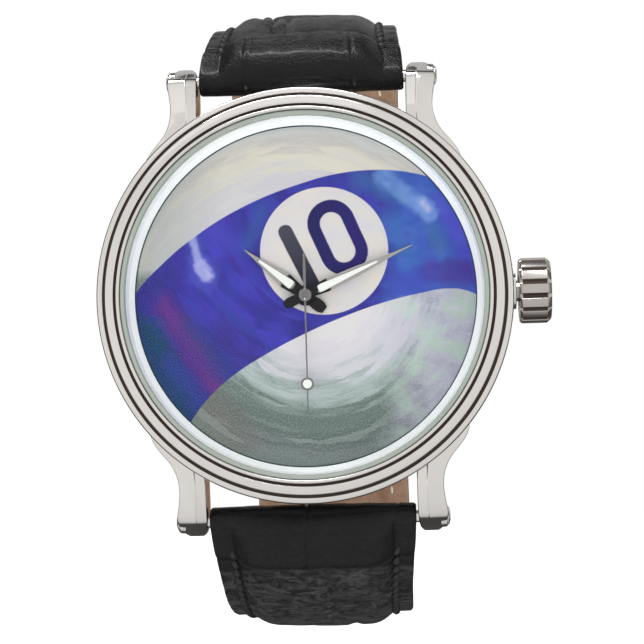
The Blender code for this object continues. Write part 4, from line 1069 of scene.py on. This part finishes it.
def crocodile(x, run, half, seed, start=11.0):
    """Depth of the pressed pattern: tiles across the pad, short creases on the flat borders."""
    rng = np.random.default_rng(seed)
    depth = np.zeros_like(x)
    pad = half - 2.3
    # cross creases of the pad, bowed and slightly wavy
    at, rows = start, []
    while at < 130:
        rows.append((at, rng.uniform(-0.9, 0.9), rng.uniform(0, tau), rng.uniform(0.15, 0.3)))
        at += rng.uniform(5.2, 8.0) if at < 60 else rng.uniform(4.0, 5.6)
    inner = np.clip((pad - np.abs(x)) / 0.8, 0, 1)
    gap = np.full_like(x, 9.0)
    for place, bow, phase, wave in rows:
        line = place + bow * (x / half) ** 2 + wave * np.sin(x * 0.7 + phase)
        line = line + 0.06 * np.sin(x * 4.3 + phase)
        gap = np.minimum(gap, np.abs(run - line))
    # lengthwise creases, one or two to each row
    edges = [4.0] + [r[0] for r in rows]
    for low, high in zip(edges, edges[1:]):
        for _ in range(rng.integers(1, 3)):
            centre, phase = rng.uniform(-0.62, 0.62) * 8, rng.uniform(0, tau)
            line = centre + 0.25 * np.sin(run * 0.9 + phase) + 0.04 * np.sin(run * 5 + phase)
            inside = (run > low) & (run < high)
            gap = np.where(inside, np.minimum(gap, np.abs(x - line)), gap)
    depth -= inner * (0.30 * np.exp(-((gap / 0.20) ** 2)) + 0.20 * np.exp(-((gap / 0.75) ** 2)))
    # small folds that run into each crease
    ripple = np.sin(x * 5.1 + 3 * np.sin(x * 0.9)) * np.exp(-((gap - 0.7) / 0.5) ** 2)
    depth += inner * 0.035 * ripple
    # border creases
    outer = np.clip((np.abs(x) - pad - 0.9) / 0.5, 0, 1)
    for side in (-1, 1):
        at = 1.5
        while at < 130:
            slant = rng.uniform(-0.25, 0.25)
            near = np.abs(run - at - slant * (np.abs(x) - pad))
            depth -= outer * (x * side > 0) * rng.uniform(0.08,
                                                          0.17) * np.exp(-((near / 0.16) ** 2))
            at += rng.uniform(1.5, 3.1)
    # slow unevenness of the stuffed pad
    depth += inner * 0.07 * np.sin(run * 0.45 + seed) * np.cos(x * 0.35 + seed)
    depth += 0.025 * np.sin(run * 1.9 + 2 * np.sin(x * 0.8)) * np.sin(x * 1.3 + run * 0.3)
    return depth


def pad_rise(x, half):
    """0 on the flat border and 1 on the raised pad, with a rounded shoulder."""
    share, wide = np.clip((half - 1.95 - x) / 2.5, 0, 1), np.clip((half - 1.95 - x) / 7.0, 0, 1)
    return 0.80 * share * (2 - share) + 0.20 * wide * (2 - wide)


def border_lift(run):
    """The flat border is thicker where the leather is folded back under the pad."""
    return 0.6 * np.clip((26 - run) / 14, 0, 1)


def section_heights(u, half, thick, lift=0.0):
    """Outward height of the leather's top for places across u (-1 to 1), before the pattern."""
    low = -thick / 2 + LINING_T + 0.08
    top = thick / 2
    edge = np.minimum(top, low + 1.25 + lift)
    x = np.abs(u) * half
    rise = pad_rise(x, half)
    height = edge + (top - edge) * rise - 0.12 * u**2 * rise
    height -= 0.14 * np.exp(-(((half - 1.8 - x) / 0.28) ** 2))
    corner = np.clip((x - (half - 0.4)) / 0.4, 0, 1)
    height -= 0.36 * (1 - np.sqrt(1 - corner**2 * 0.98))
    return low, height


def strap_skin(shape, strap, first, last, seed, x_low=-1.0, x_high=1.0, across=92):
    """The padded body between two lengths, optionally only part of its width."""
    runs = strap.run[(strap.run >= first) & (strap.run <= last)]
    u = np.linspace(x_low, x_high, across)
    u = np.sign(u) * np.abs(u) ** 0.92
    half = np.interp(runs, strap.run, strap.half)[:, None]
    thick = np.interp(runs, strap.run, strap.thick)[:, None]
    run = runs[:, None] + 0 * u[None, :]
    x = u[None, :] * half
    low, height = section_heights(u[None, :], half, thick, border_lift(run))
    fade = np.clip((run - first) / 0.55, 0.0, 1.0)
    height = height + crocodile(x, run, half, seed)
    height = height - 0.30 * (1 - np.sqrt(1 - (1 - fade) ** 2)) * (0.3 + 0.7 * pad_rise(np.abs(x),
                                                                                        half))
    top = strap.at(x, run, height)
    base_u = np.linspace(x_high, x_low, 9)
    base_x = base_u[None, :] * half
    base = strap.at(base_x, runs[:, None] + 0 * base_x, low + 0 * base_x)
    loops = np.concatenate([top, base], 1)
    loft(shape, [[tuple(p) for p in loop] for loop in loops])


def bar_wrap(shape, centre, radius, low, high, seed):
    """The leather roll round the buckle's bar, with faint creases that cross it."""
    rng = np.random.default_rng(seed)
    lines = [rng.uniform(-9, 9) for _ in range(3)]
    xs = np.unique(np.concatenate([np.linspace(low, high, 90), [low + 0.08, high - 0.08]]))
    loops = []
    for x in xs:
        edge = min(x - low, high - x)
        swell = radius - 0.16 * max(0, 1 - edge / 0.3) ** 2
        loop = []
        for k in range(64):
            a = tau * k / 64
            r = swell
            for line in lines:
                r -= 0.10 * np.exp(-(((x - line - 0.3 * sin(a + line)) / 0.16) ** 2))
            r += 0.02 * sin(3 * a + x * 0.8) + 0.012 * sin(x * 3.1 + 2 * a)
            loop.append((x, centre[0] + r * cos(a), centre[1] + r * sin(a)))
        loops.append(loop)
    loft(shape, loops)


def strap_head(shape, strap, end, creases, seam):
    """The padded leather that turns over the bar, as far as the first cross crease."""
    joint, half = HEAD_JOINT, float(strap.half[0])
    joint_half = float(np.interp(joint, strap.run, strap.half))
    base = np.array((end * BAR_Y, BAR_Z))

    def on_path(run, offset):
        _, y, z = strap.at(np.array(0.0), np.array(run), offset)
        return (y - base[0]) * end, z - base[1]

    thick = float(np.interp(joint, strap.run, strap.thick))
    low, top = section_heights(np.array(0.0), half, thick)
    low, edge_low = float(low), float(low) + 1.25 + float(border_lift(joint))
    last = on_path(joint, float(top))
    middle = [(-0.75, -1.12), (-1.33, -0.25), (-1.42, 0.6), (-0.95, 1.5), (0.2, 2.1), (1.5, 2.15),
              (2.75, 1.55), (last[0] - 0.25, last[1] + 0.75), last]
    edge = [(-0.75, -1.12), (-1.33, -0.25), (-1.2, 0.6), (-0.6, 1.21), (0.25, 1.33), (1.05, 0.9),
            on_path(2.1, 0.85), on_path(3.1, 0.75), on_path(joint, edge_low)]
    steps = 60
    m, e = np.array(smooth_stations(middle, steps)), np.array(smooth_stations(edge, steps))
    inner = [on_path(joint, low), on_path(joint * 0.7, low * 0.96), on_path(joint * 0.45, -1.28),
             (0.35, -1.30), (-0.2, -1.34)]
    share = np.linspace(0, 1, steps + 1)
    dip = 0.32 * np.clip((share - 0.93) / 0.07, 0, 1) ** 2
    if seam:
        dip = dip + seam * np.exp(-(((share - 0.60) / 0.018) ** 2))
    xs = np.concatenate([[-half, -half + 0.07, -half + 0.2],
                         np.linspace(-half + 0.36, half - 0.36, 116),
                         [half - 0.2, half - 0.07, half]])
    loops = []
    for x in xs:
        rise = float(pad_rise(abs(x), half))
        outer = e + (m - e) * rise
        away = outer / np.linalg.norm(outer, axis=1, keepdims=True)
        cut = dip * (0.35 + 0.65 * rise)
        for place, depth in creases:
            wander = place + 0.22 * np.sin(share * 5 + place) + 0.03 * np.sin(share * 40)
            gap = np.abs(x - wander)
            lip = 0.25 * np.exp(-(((gap - 0.35) / 0.2) ** 2))
            cut = cut + depth * (np.exp(-((gap / 0.13) ** 2)) - lip)
        cut = cut + 0.02 * np.sin(share * 21 + x * 0.7) * rise - 0.012 * np.sin(x * 2.3 + share * 9)
        border = 0.10 * np.exp(-(((half - 1.8 - abs(x)) / 0.25) ** 2))
        cut = cut + border * np.clip((share - 0.62) / 0.1, 0, 1)
        outer = outer - away * cut[:, None]
        loop = np.concatenate([outer, np.array(inner)])
        narrow = np.concatenate([np.clip((share - 0.45) / 0.55, 0, 1) ** 1.5, [1, 0.7, 0.4, 0, 0]])
        edge_gap = half - abs(x)
        if edge_gap < 0.3:
            centre = loop.mean(0)
            loop = centre + (loop - centre) * (1 - 0.10 * (1 - edge_gap / 0.3) ** 2)
        scale = 1 - narrow * (1 - joint_half / half)
        loops.append([(x * k, base[0] + end * p, base[1] + q) for (p, q), k in zip(loop, scale)])
    loft(shape, loops)


def stitch(shape, middle, along, out, length, thick):
    """One visible stitch: a fat, slightly arched piece of thread."""
    side = along.cross(out)
    rings = []
    for t, fat in ((-1, 0.25), (-0.82, 0.75), (-0.45, 1.0), (0, 1.06), (0.45, 1.0), (0.82, 0.75),
                   (1, 0.25)):
        centre = middle + along * (t * length / 2) + out * (0.1 - 0.22 * t * t)
        rings.append([centre + (side * cos(tau * k / 8) + out * sin(tau * k / 8)) * thick * fat / 2
                      for k in range(8)])
    loft(shape, rings)


def stitch_rows(strap, first, last, inset, pitch, length, thick, underside=False, seed=3):
    rng = np.random.default_rng(seed)
    shape = bmesh.new()
    for side in (-1, 1):
        run = first
        while run < last:
            half = float(np.interp(run, strap.run, strap.half))
            thickness = float(np.interp(run, strap.run, strap.thick))
            x = side * (half - inset)
            _, height = section_heights(np.array(x / half), half, thickness, border_lift(run))
            offset = 0.07 + 0.53 * thick - thickness / 2 if underside else float(height) + 0.05
            across, along, out = strap.basis(run)
            if underside:
                out = -out
            middle = Vector(strap.at(np.array(x), np.array(run), offset))
            slant = rng.uniform(0.0, 0.06) if underside else rng.uniform(0.3, 0.55)
            turned = along + across * side * slant + out * rng.uniform(-0.08, 0.08)
            stitch(shape, middle, turned.normalized(), out, length * rng.uniform(0.92, 1.06), thick)
            run += pitch
    return shape


def lining_skin(shape, strap, first, last):
    """The lining with soft edges and a shallow channel under each row of stitches."""
    runs = strap.run[(strap.run >= first) & (strap.run <= last)][::2]
    u = np.linspace(-1.0, 1.0, 46)
    half = np.interp(runs, strap.run, strap.half)[:, None] - 0.06
    thick = np.interp(runs, strap.run, strap.thick)[:, None]
    x = u[None, :] * half
    low = -thick / 2 + 0.10 * np.exp(-(((half - 2.0 - np.abs(x)) / 0.3) ** 2))
    low = low + 0.02 * np.sin(x * 1.7 + runs[:, None] * 0.6)
    low = low + 0.2 * np.clip((np.abs(x) - (half - 0.3)) / 0.3, 0, 1) ** 2
    bottom = strap.at(x, runs[:, None] + 0 * x, low)
    top_x = u[::-1][None, ::5] * half
    top = strap.at(top_x, runs[:, None] + 0 * top_x, -thick / 2 + LINING_T + 0 * top_x)
    loops = np.concatenate([bottom, top], 1)
    loft(shape, [[tuple(p) for p in loop] for loop in loops])


def buckle_hole_tools(strap):
    """Cutters at the six buckle holes of the tail, one every 7.8 mm."""
    made = []
    coarse = curve_through(long_strap_path(), 3.9)
    for i in range(6):
        first, second = coarse[-7 - 2 * i], coarse[-6 - 2 * i]
        run = (first[0] + second[0]) / 2
        _, _, out = strap.basis(run)
        middle = (first[1] + second[1]) / 2
        turn = out.to_track_quat("Z", "Y").to_matrix().to_4x4()
        place = Matrix.Translation((0, middle.x, middle.y)) @ turn
        made.append(cylinder(HOLE_R, -4, 4, 32, place))
    return made


def build_strap_pieces():
    # the short half, with the buckle
    short = Strap(short_strap_path(), 1, 2.7, False)
    shape = bmesh.new()
    strap_head(shape, short, 1, [(-5.2, 0.17), (4.9, 0.15)], 0.0)
    strap_skin(shape, short, BODY_START, short.total - 4.9, 5)
    gap = BUCKLE_SLOT / BUCKLE_END
    ends = [(-1.0, -gap), (gap, 1.0)]
    for x_low, x_high in ends:
        strap_skin(shape, short, short.total - 5.3, short.total - 0.4, 6, x_low, x_high, 40)
        bar_wrap(shape, short_strap_path()[-1], 1.45, x_low * BUCKLE_END, x_high * BUCKLE_END, 4)
    top = piece("short_strap_padded", shape, leather, "strap_12", ["strap_12_leather"],
                0)
    shape = stitch_rows(short, HEAD_SEAM_START, short.total - 6.5, **SEAM)
    piece("short_strap_stitches", shape, black_thread, "strap_12", auto=0)
    shape = bmesh.new()
    lining_skin(shape, short, LINING_START, short.total - 6)
    piece("short_strap_lining", shape, lining, "strap_12", ["strap_12_lining"], 40)
    shape = stitch_rows(short, LINING_SEAM_START, short.total - 7, **LINING_SEAM)
    piece("short_lining_stitches", shape, light_thread, "strap_12", auto=0)

    # the long half, with the holes and a pointed tail
    long = Strap(long_strap_path(), -1, 2.2, True)
    shape = bmesh.new()
    strap_skin(shape, long, BODY_START, long.total - 0.05, 8)
    body = worked(shape, buckle_hole_tools(long))
    strap_head(body, long, -1, [(-0.7, 0.20), (8.1, 0.10)], 0.14)
    bottom = piece("long_strap_padded", body, leather, "strap_6", ["strap_6_leather"],
                   0)
    shape = stitch_rows(long, HEAD_SEAM_START, long.total - 11, **SEAM, seed=7)
    piece("long_strap_stitches", shape, black_thread, "strap_6", auto=0)
    shape = bmesh.new()
    lining_skin(shape, long, LINING_START, long.total - 0.4)
    piece("long_strap_lining", worked(shape, buckle_hole_tools(long)), lining, "strap_6",
          ["strap_6_lining"], 40)
    shape = stitch_rows(long, LINING_SEAM_START, long.total - 12, **LINING_SEAM, seed=9)
    piece("long_lining_stitches", shape, light_thread, "strap_6", auto=0)


build_strap_pieces()


# ---------------------------------------------------------------- keepers and buckle


def rounded_loop(half_x, half_z, corner, steps=10):
    """Points and outward directions round a rectangle with round corners."""
    made = []
    for k, (sx, sz) in enumerate(((1, 1), (-1, 1), (-1, -1), (1, -1))):
        for step in range(steps + 1):
            a = (k + step / steps) * pi / 2
            u, v = cos(a), sin(a)
            made.append((sx * (half_x - corner) + corner * u, sz * (half_z - corner) + corner * v,
                         u, v))
    dense = []
    for (x0, z0, u0, v0), (x1, z1, u1, v1) in zip(made, made[1:] + made[:1]):
        count = max(1, round(sqrt((x1 - x0) ** 2 + (z1 - z0) ** 2) / 0.5))
        for i in range(count):
            t = i / count
            dense.append((x0 + (x1 - x0) * t, z0 + (z1 - z0) * t, u0 + (u1 - u0) * t,
                          v0 + (v1 - v0) * t))
    return dense


def keeper(name, node, body, behind, length, inner_gap, seed):
    """A narrow leather loop with turned edges, creased like the strap, with a shallow groove along
    each edge.
    """
    angle = BUCKLE_ANGLE + behind / BUCKLE_ARC_R
    half = BUCKLE_WIDTH / 2 + 0.55
    height = 2 * inner_gap + 2.4
    middle = -BUCKLE_ARC_R - 1.2
    place = Matrix.Translation((0, -BAR_Y, BAR_Z)) @ Matrix.Rotation(angle, 4, "X") \
        @ Matrix.Translation((0, 0, middle))
    rng = np.random.default_rng(seed)
    marks = rng.uniform(-9, 9, 4)
    shape = bmesh.new()
    loops = []
    span = length / 2
    section = [(-span, 0.0), (-span, 0.55), (-span + 0.14, 0.72), (-span + 0.4, 0.8)]
    section += [(y, 0.8) for y in np.linspace(-span + 0.6, span - 0.6, 15)]
    section += [(span - 0.4, 0.8), (span - 0.14, 0.72), (span, 0.55), (span, 0.0)]
    for x, z, u, v in rounded_loop(half, height / 2, 0.45):
        loop = []
        for y, out in section:
            r = out
            if out > 0.6:
                r -= 0.12 * sum(np.exp(-(((x - m - 0.12 * sin(2 * y)) / 0.16) ** 2)) for m in marks)
                r -= 0.07 * np.exp(-(((span - 0.75 - abs(y)) / 0.16) ** 2))
                r += 0.015 * sin(x * 1.9 + y) * cos(y * 1.4)
            loop.append((x + u * r, y, z + v * r))
        loops.append(loop)
    rows = [[shape.verts.new(place @ Vector(p)) for p in loop] for loop in loops]
    for first, second in zip(rows, rows[1:] + rows[:1]):
        join_rows(shape, first, second)
    piece(name, shape, keeper_leather, body, [node], 50)


def tube(shape, points, radius, place, sides, flat, fat_at):
    """A round bar along smoothed points in the buckle's own plane."""
    path = smooth_stations(points, max(20, round(len(points) * 14)))
    path = [Vector(p) for p in path]
    loops = []
    reference = Vector((0, 0, 1))
    for i, point in enumerate(path):
        ahead = (path[min(i + 1, len(path) - 1)] - path[max(i - 1, 0)]).normalized()
        side = ahead.cross(reference)
        if side.length < 0.2:
            side = ahead.cross(Vector((1, 0, 0)))
        side.normalize()
        up = side.cross(ahead).normalized()
        share = i / (len(path) - 1)
        fat = fat_at(share)
        ring = [tau * k / sides for k in range(sides)]
        loops.append([place @ (point + side * (radius * fat * cos(a))
                               + up * (radius * fat * flat * sin(a))) for a in ring])
    loft(shape, loops)


def build_buckle_pieces():
    y, z = arc_point(BUCKLE_ARC_R, BUCKLE_ANGLE)
    place = Matrix.Translation((0, y, z)) @ Matrix.Rotation(BUCKLE_ANGLE, 4, "X")
    side, front = 10.25, -10.6
    path = [(side, 1.15, 0), (side, -1.5, 0), (side, -4.6, 0), (side, -7.3, 0),
            (side - 0.18, -8.5, 0),
            (side - 0.75, -9.55, 0), (side - 1.7, -10.3, 0), (side - 3, front, 0), (side - 6.5,
                                                                                    front, 0),
            (0, front, 0)]
    path += [(-x, py, 0) for x, py, _ in path[-2::-1]]
    shape = bmesh.new()

    def fat(share):
        end = min(share, 1 - share)
        return 1.0 if end > 0.012 else 0.86 + 0.14 * sqrt(1 - (1 - end / 0.012) ** 2)

    tube(shape, path, 1.0, place, 28, 0.96, fat)
    bore = cylinder(0.62, -10.87, 10.87, 32, along_x(0, y, z))
    # a shallow seat where the tang's tip rests
    rest = Matrix.Translation((0, front, -1.55)) @ Matrix.Rotation(pi / 2, 4, "X")
    seat = cylinder(0.82, -2.5, 2.5, 32, place @ rest)
    piece("pin_buckle", worked(shape, [bore, seat]), polished, "buckle", ["buckle_frame"],
          40)
    bar = [(0, -10.75), (0.5, -10.75), (0.55, -10.7), (0.55, 10.7), (0.5, 10.75), (0, 10.75)]
    piece("buckle_spring_bar", lathe(bmesh.new(), bar, 32, along_x(0, y, z)), polished, "strap_12",
          ["buckle_bar"])
    arm = [(0, -0.75, -0.45), (0, -2.0, -0.75), (0, -3.6, -1.1), (0, -6, -1.5), (0, -8.4, -1.74),
           (0, -10.4, -1.8), (0, -11.55, -1.76)]
    shape = bmesh.new()

    def taper(share):
        slim = 1.0 - 0.10 * share
        if share < 0.93:
            return slim
        return slim * sqrt(max(0.02, 1 - ((share - 0.93) / 0.07) ** 2 * 0.9))

    tube(shape, arm, 0.66, place, 24, 0.9, taper)
    tongue = worked(shape, [cylinder(1.0, -2, 2, 48, along_x(0, y, z))])
    eye = soft_profile([(0.63, -1.15), (1.25, -1.15), (1.25, 1.15), (0.63, 1.15)], 0.15)
    lathe(tongue, eye, 48, along_x(0, y, z))
    piece("buckle_tongue", tongue, polished, "buckle_tang", ["tang"], 35)
    keeper("fixed_keeper_loop", "fixed_keeper", "strap_12", 6.6, 4.2, 1.5, 21)
    keeper("loose_keeper_loop", "loose_keeper", "keeper_slider", 15.2, 4.6, 1.65, 22)


build_buckle_pieces()


# ---------------------------------------------------------------- finishes of the inner pieces


def finish_inside():
    """Real finishes for the movement and the small parts that keep their CAD shape."""
    looks = [
        (plain_metal("turned_brass", (0.72, 0.50, 0.20), 0.22),
         "seconds_wheel third_wheel centre_wheel hour_wheel minute_wheel"),
        (brushed("nickel_plate", (0.66, 0.65, 0.61)), "main_plate quartz_can"),
        (brushed("grained_bridge", (0.64, 0.63, 0.61), False), "train_bridge"),
        (plain_metal("bright_steel", (0.62, 0.62, 0.61), 0.2),
         "cannon_pinion setting_wheel clutch_wheel stem setting_lever crown_tube battery_clamp "
         "bridge_screw_1 bridge_screw_2 bridge_screw_3"),
        (brushed("battery_can", (0.6, 0.6, 0.6)), "battery"),
        (plastic("holder_plastic", (0.72, 0.70, 0.66)), "movement_holder"),
        (plastic("wheel_plastic", (0.75, 0.74, 0.70), 0.35), "intermediate_wheel"),
        (plastic("chip_epoxy", (0.012, 0.012, 0.013), 0.5), "driver_chip"),
        (plastic("board_mask", (0.02, 0.11, 0.045), 0.35), "circuit_board"),
        (winding("copper_winding"), "coil"),
        (plain_metal("stator_iron", (0.34, 0.34, 0.35), 0.35), "stator"),
        (plain_metal("magnet", (0.12, 0.12, 0.125), 0.3), "rotor"),
        (plastic("gasket_rubber", (0.012, 0.012, 0.012), 0.6), "case_back_gasket"),
        (plastic("crown_gasket_rubber", (0.014, 0.014, 0.014), 0.6), "crown_gasket"),
        (lume("white_lume"), "hour_hand_lume minute_hand_lume seconds_hand_lume"),
    ]
    for look, nodes in looks:
        for node in nodes.split():
            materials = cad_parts[node].data.materials
            materials.clear()
            materials.append(look)


finish_inside()


# ---------------------------------------------------------------- stage, light and camera


# level of the studio's light from the back (0) to the front (1), and from below to above
FRONT_LEVELS = [(0.0, 0.12), (0.25, 0.07), (0.34, 0.07), (0.43, 0.22), (0.50, 0.58), (0.62, 0.80),
                (0.84, 0.90), (1.0, 0.86)]
HEIGHT_LEVELS = [(0.0, 0.80), (0.25, 0.92), (0.42, 0.97), (0.55, 1.0), (0.75, 0.92), (1.0, 0.88)]

LAMPS = [
    # name, place, width and height in metres, watts; each one faces the watch
    ("key_above", (-0.15, -0.45, 0.50), (0.60, 0.40), 0.12),
    ("left_strip", (-0.50, -0.20, 0.05), (0.12, 0.50), 0.07),
    ("right_strip", (0.50, -0.20, 0.10), (0.10, 0.45), 0.06),
    ("top_strip", (-0.08, -0.07, 0.50), (0.55, 0.07), 1.8),
    ("back_fill", (0.20, 0.55, 0.25), (0.80, 0.80), 0.9),
]

LENS, SENSOR = 118.7, 36.0
CAMERA_TURN, CAMERA_TILT, CAMERA_ROLL = radians(2.5), radians(-3.0), radians(1.6)
CAMERA_AWAY, CAMERA_AIM = 0.2, Vector((0.00162, -0.009, -0.0027))


def build_stage():
    """A pale floor below the hanging strap, and a soft white studio round it."""
    g = Graph("pale_floor")
    cloudy = g.noise(g.mm, 0.004, 3)
    g.set(Base_Color=g.mix(cloudy, (0.86, 0.86, 0.86), (0.89, 0.89, 0.89)), Roughness=0.85,
          Specular_IOR_Level=0.1, Emission_Color=(1, 1, 1), Emission_Strength=0.95)
    mesh = bpy.data.meshes.new("floor")
    shape = bmesh.new()
    bmesh.ops.create_grid(shape, x_segments=4, y_segments=4, size=3.0)
    shape.to_mesh(mesh)
    shape.free()
    floor = bpy.data.objects.new("floor", mesh)
    floor.location = (0, 0, cad_box[0][2] - STRAP_DROP)
    mesh.materials.append(g.mat)
    bpy.context.scene.collection.objects.link(floor)
    floor.visible_glossy = False

    world = bpy.context.scene.world or bpy.data.worlds.new("studio")
    bpy.context.scene.world = world
    world.use_nodes = True
    tree = world.node_tree
    tree.nodes.clear()

    def add(kind, *inputs):
        """A node with its first inputs set or linked."""
        node = tree.nodes.new(kind)
        for socket, value in zip(node.inputs, inputs):
            if isinstance(value, bpy.types.NodeSocket):
                tree.links.new(value, socket)
            elif value is not None:
                socket.default_value = value
        return node

    def scaled(a, by, offset):
        node = add("ShaderNodeMath")
        node.operation = "MULTIPLY_ADD"
        tree.links.new(a, node.inputs[0])
        node.inputs[1].default_value = by
        if isinstance(offset, float):
            node.inputs[2].default_value = offset
        else:
            tree.links.new(offset, node.inputs[2])
        return node.outputs[0]

    def level_ramp(value, stops, tint):
        node = add("ShaderNodeValToRGB", value)
        for i, (at, level) in enumerate(stops):
            stop = node.color_ramp.elements[i] if i < 2 else node.color_ramp.elements.new(at)
            stop.position, stop.color = at, (*(level * part for part in tint), 1)
        return node.outputs[0]

    parts = add("ShaderNodeSeparateXYZ", add("ShaderNodeTexCoord").outputs["Generated"]).outputs
    # lit from the front, dark behind, and a little brighter at the height of the watch
    front = level_ramp(scaled(parts["Y"], -0.5, 0.5), FRONT_LEVELS, (1, 0.985, 0.968))
    height = scaled(parts["Z"], 0.5, 0.5)
    upward = level_ramp(scaled(parts["X"], -0.12, height), HEIGHT_LEVELS, (1, 1, 1))
    product = add("ShaderNodeMix")
    product.data_type, product.blend_type = "RGBA", "MULTIPLY"
    product.inputs[0].default_value = 1.0
    tree.links.new(front, product.inputs[6])
    tree.links.new(upward, product.inputs[7])
    lights = add("ShaderNodeBackground", product.outputs[2], 1.0)
    seen = add("ShaderNodeBackground", (1, 1, 1, 1))
    path = add("ShaderNodeLightPath").outputs["Is Camera Ray"]
    both = add("ShaderNodeMixShader", path, lights.outputs[0], seen.outputs[0])
    add("ShaderNodeOutputWorld", both.outputs[0])


def build_light_and_camera():
    for name, place, size, watts in LAMPS:
        lamp = bpy.data.lights.new(name, "AREA")
        lamp.shape, lamp.size, lamp.size_y = "RECTANGLE", *size
        lamp.energy = watts
        obj = bpy.data.objects.new(name, lamp)
        obj.location = place
        obj.rotation_euler = (-Vector(place)).to_track_quat("-Z", "Y").to_euler()
        obj.visible_camera = False
        bpy.context.scene.collection.objects.link(obj)

    camera = bpy.data.cameras.new("camera")
    camera.sensor_width, camera.lens = SENSOR, LENS
    camera.dof.use_dof = False
    camera.clip_start, camera.clip_end = 0.01, 20
    obj = bpy.data.objects.new("camera", camera)
    bpy.context.scene.collection.objects.link(obj)
    back = Vector((sin(CAMERA_TURN) * cos(CAMERA_TILT), -cos(CAMERA_TURN) * cos(CAMERA_TILT),
                   sin(CAMERA_TILT)))
    obj.rotation_mode = "QUATERNION"
    facing = (-back).to_track_quat("-Z", "Y")
    obj.rotation_quaternion = facing @ Matrix.Rotation(-CAMERA_ROLL, 3, "Z").to_quaternion()
    obj.location = CAMERA_AIM + back * CAMERA_AWAY
    bpy.context.scene.camera = obj


build_stage()
build_light_and_camera()
bpy.context.scene.view_settings.view_transform = "Standard"
bpy.context.scene.view_settings.look = "None"
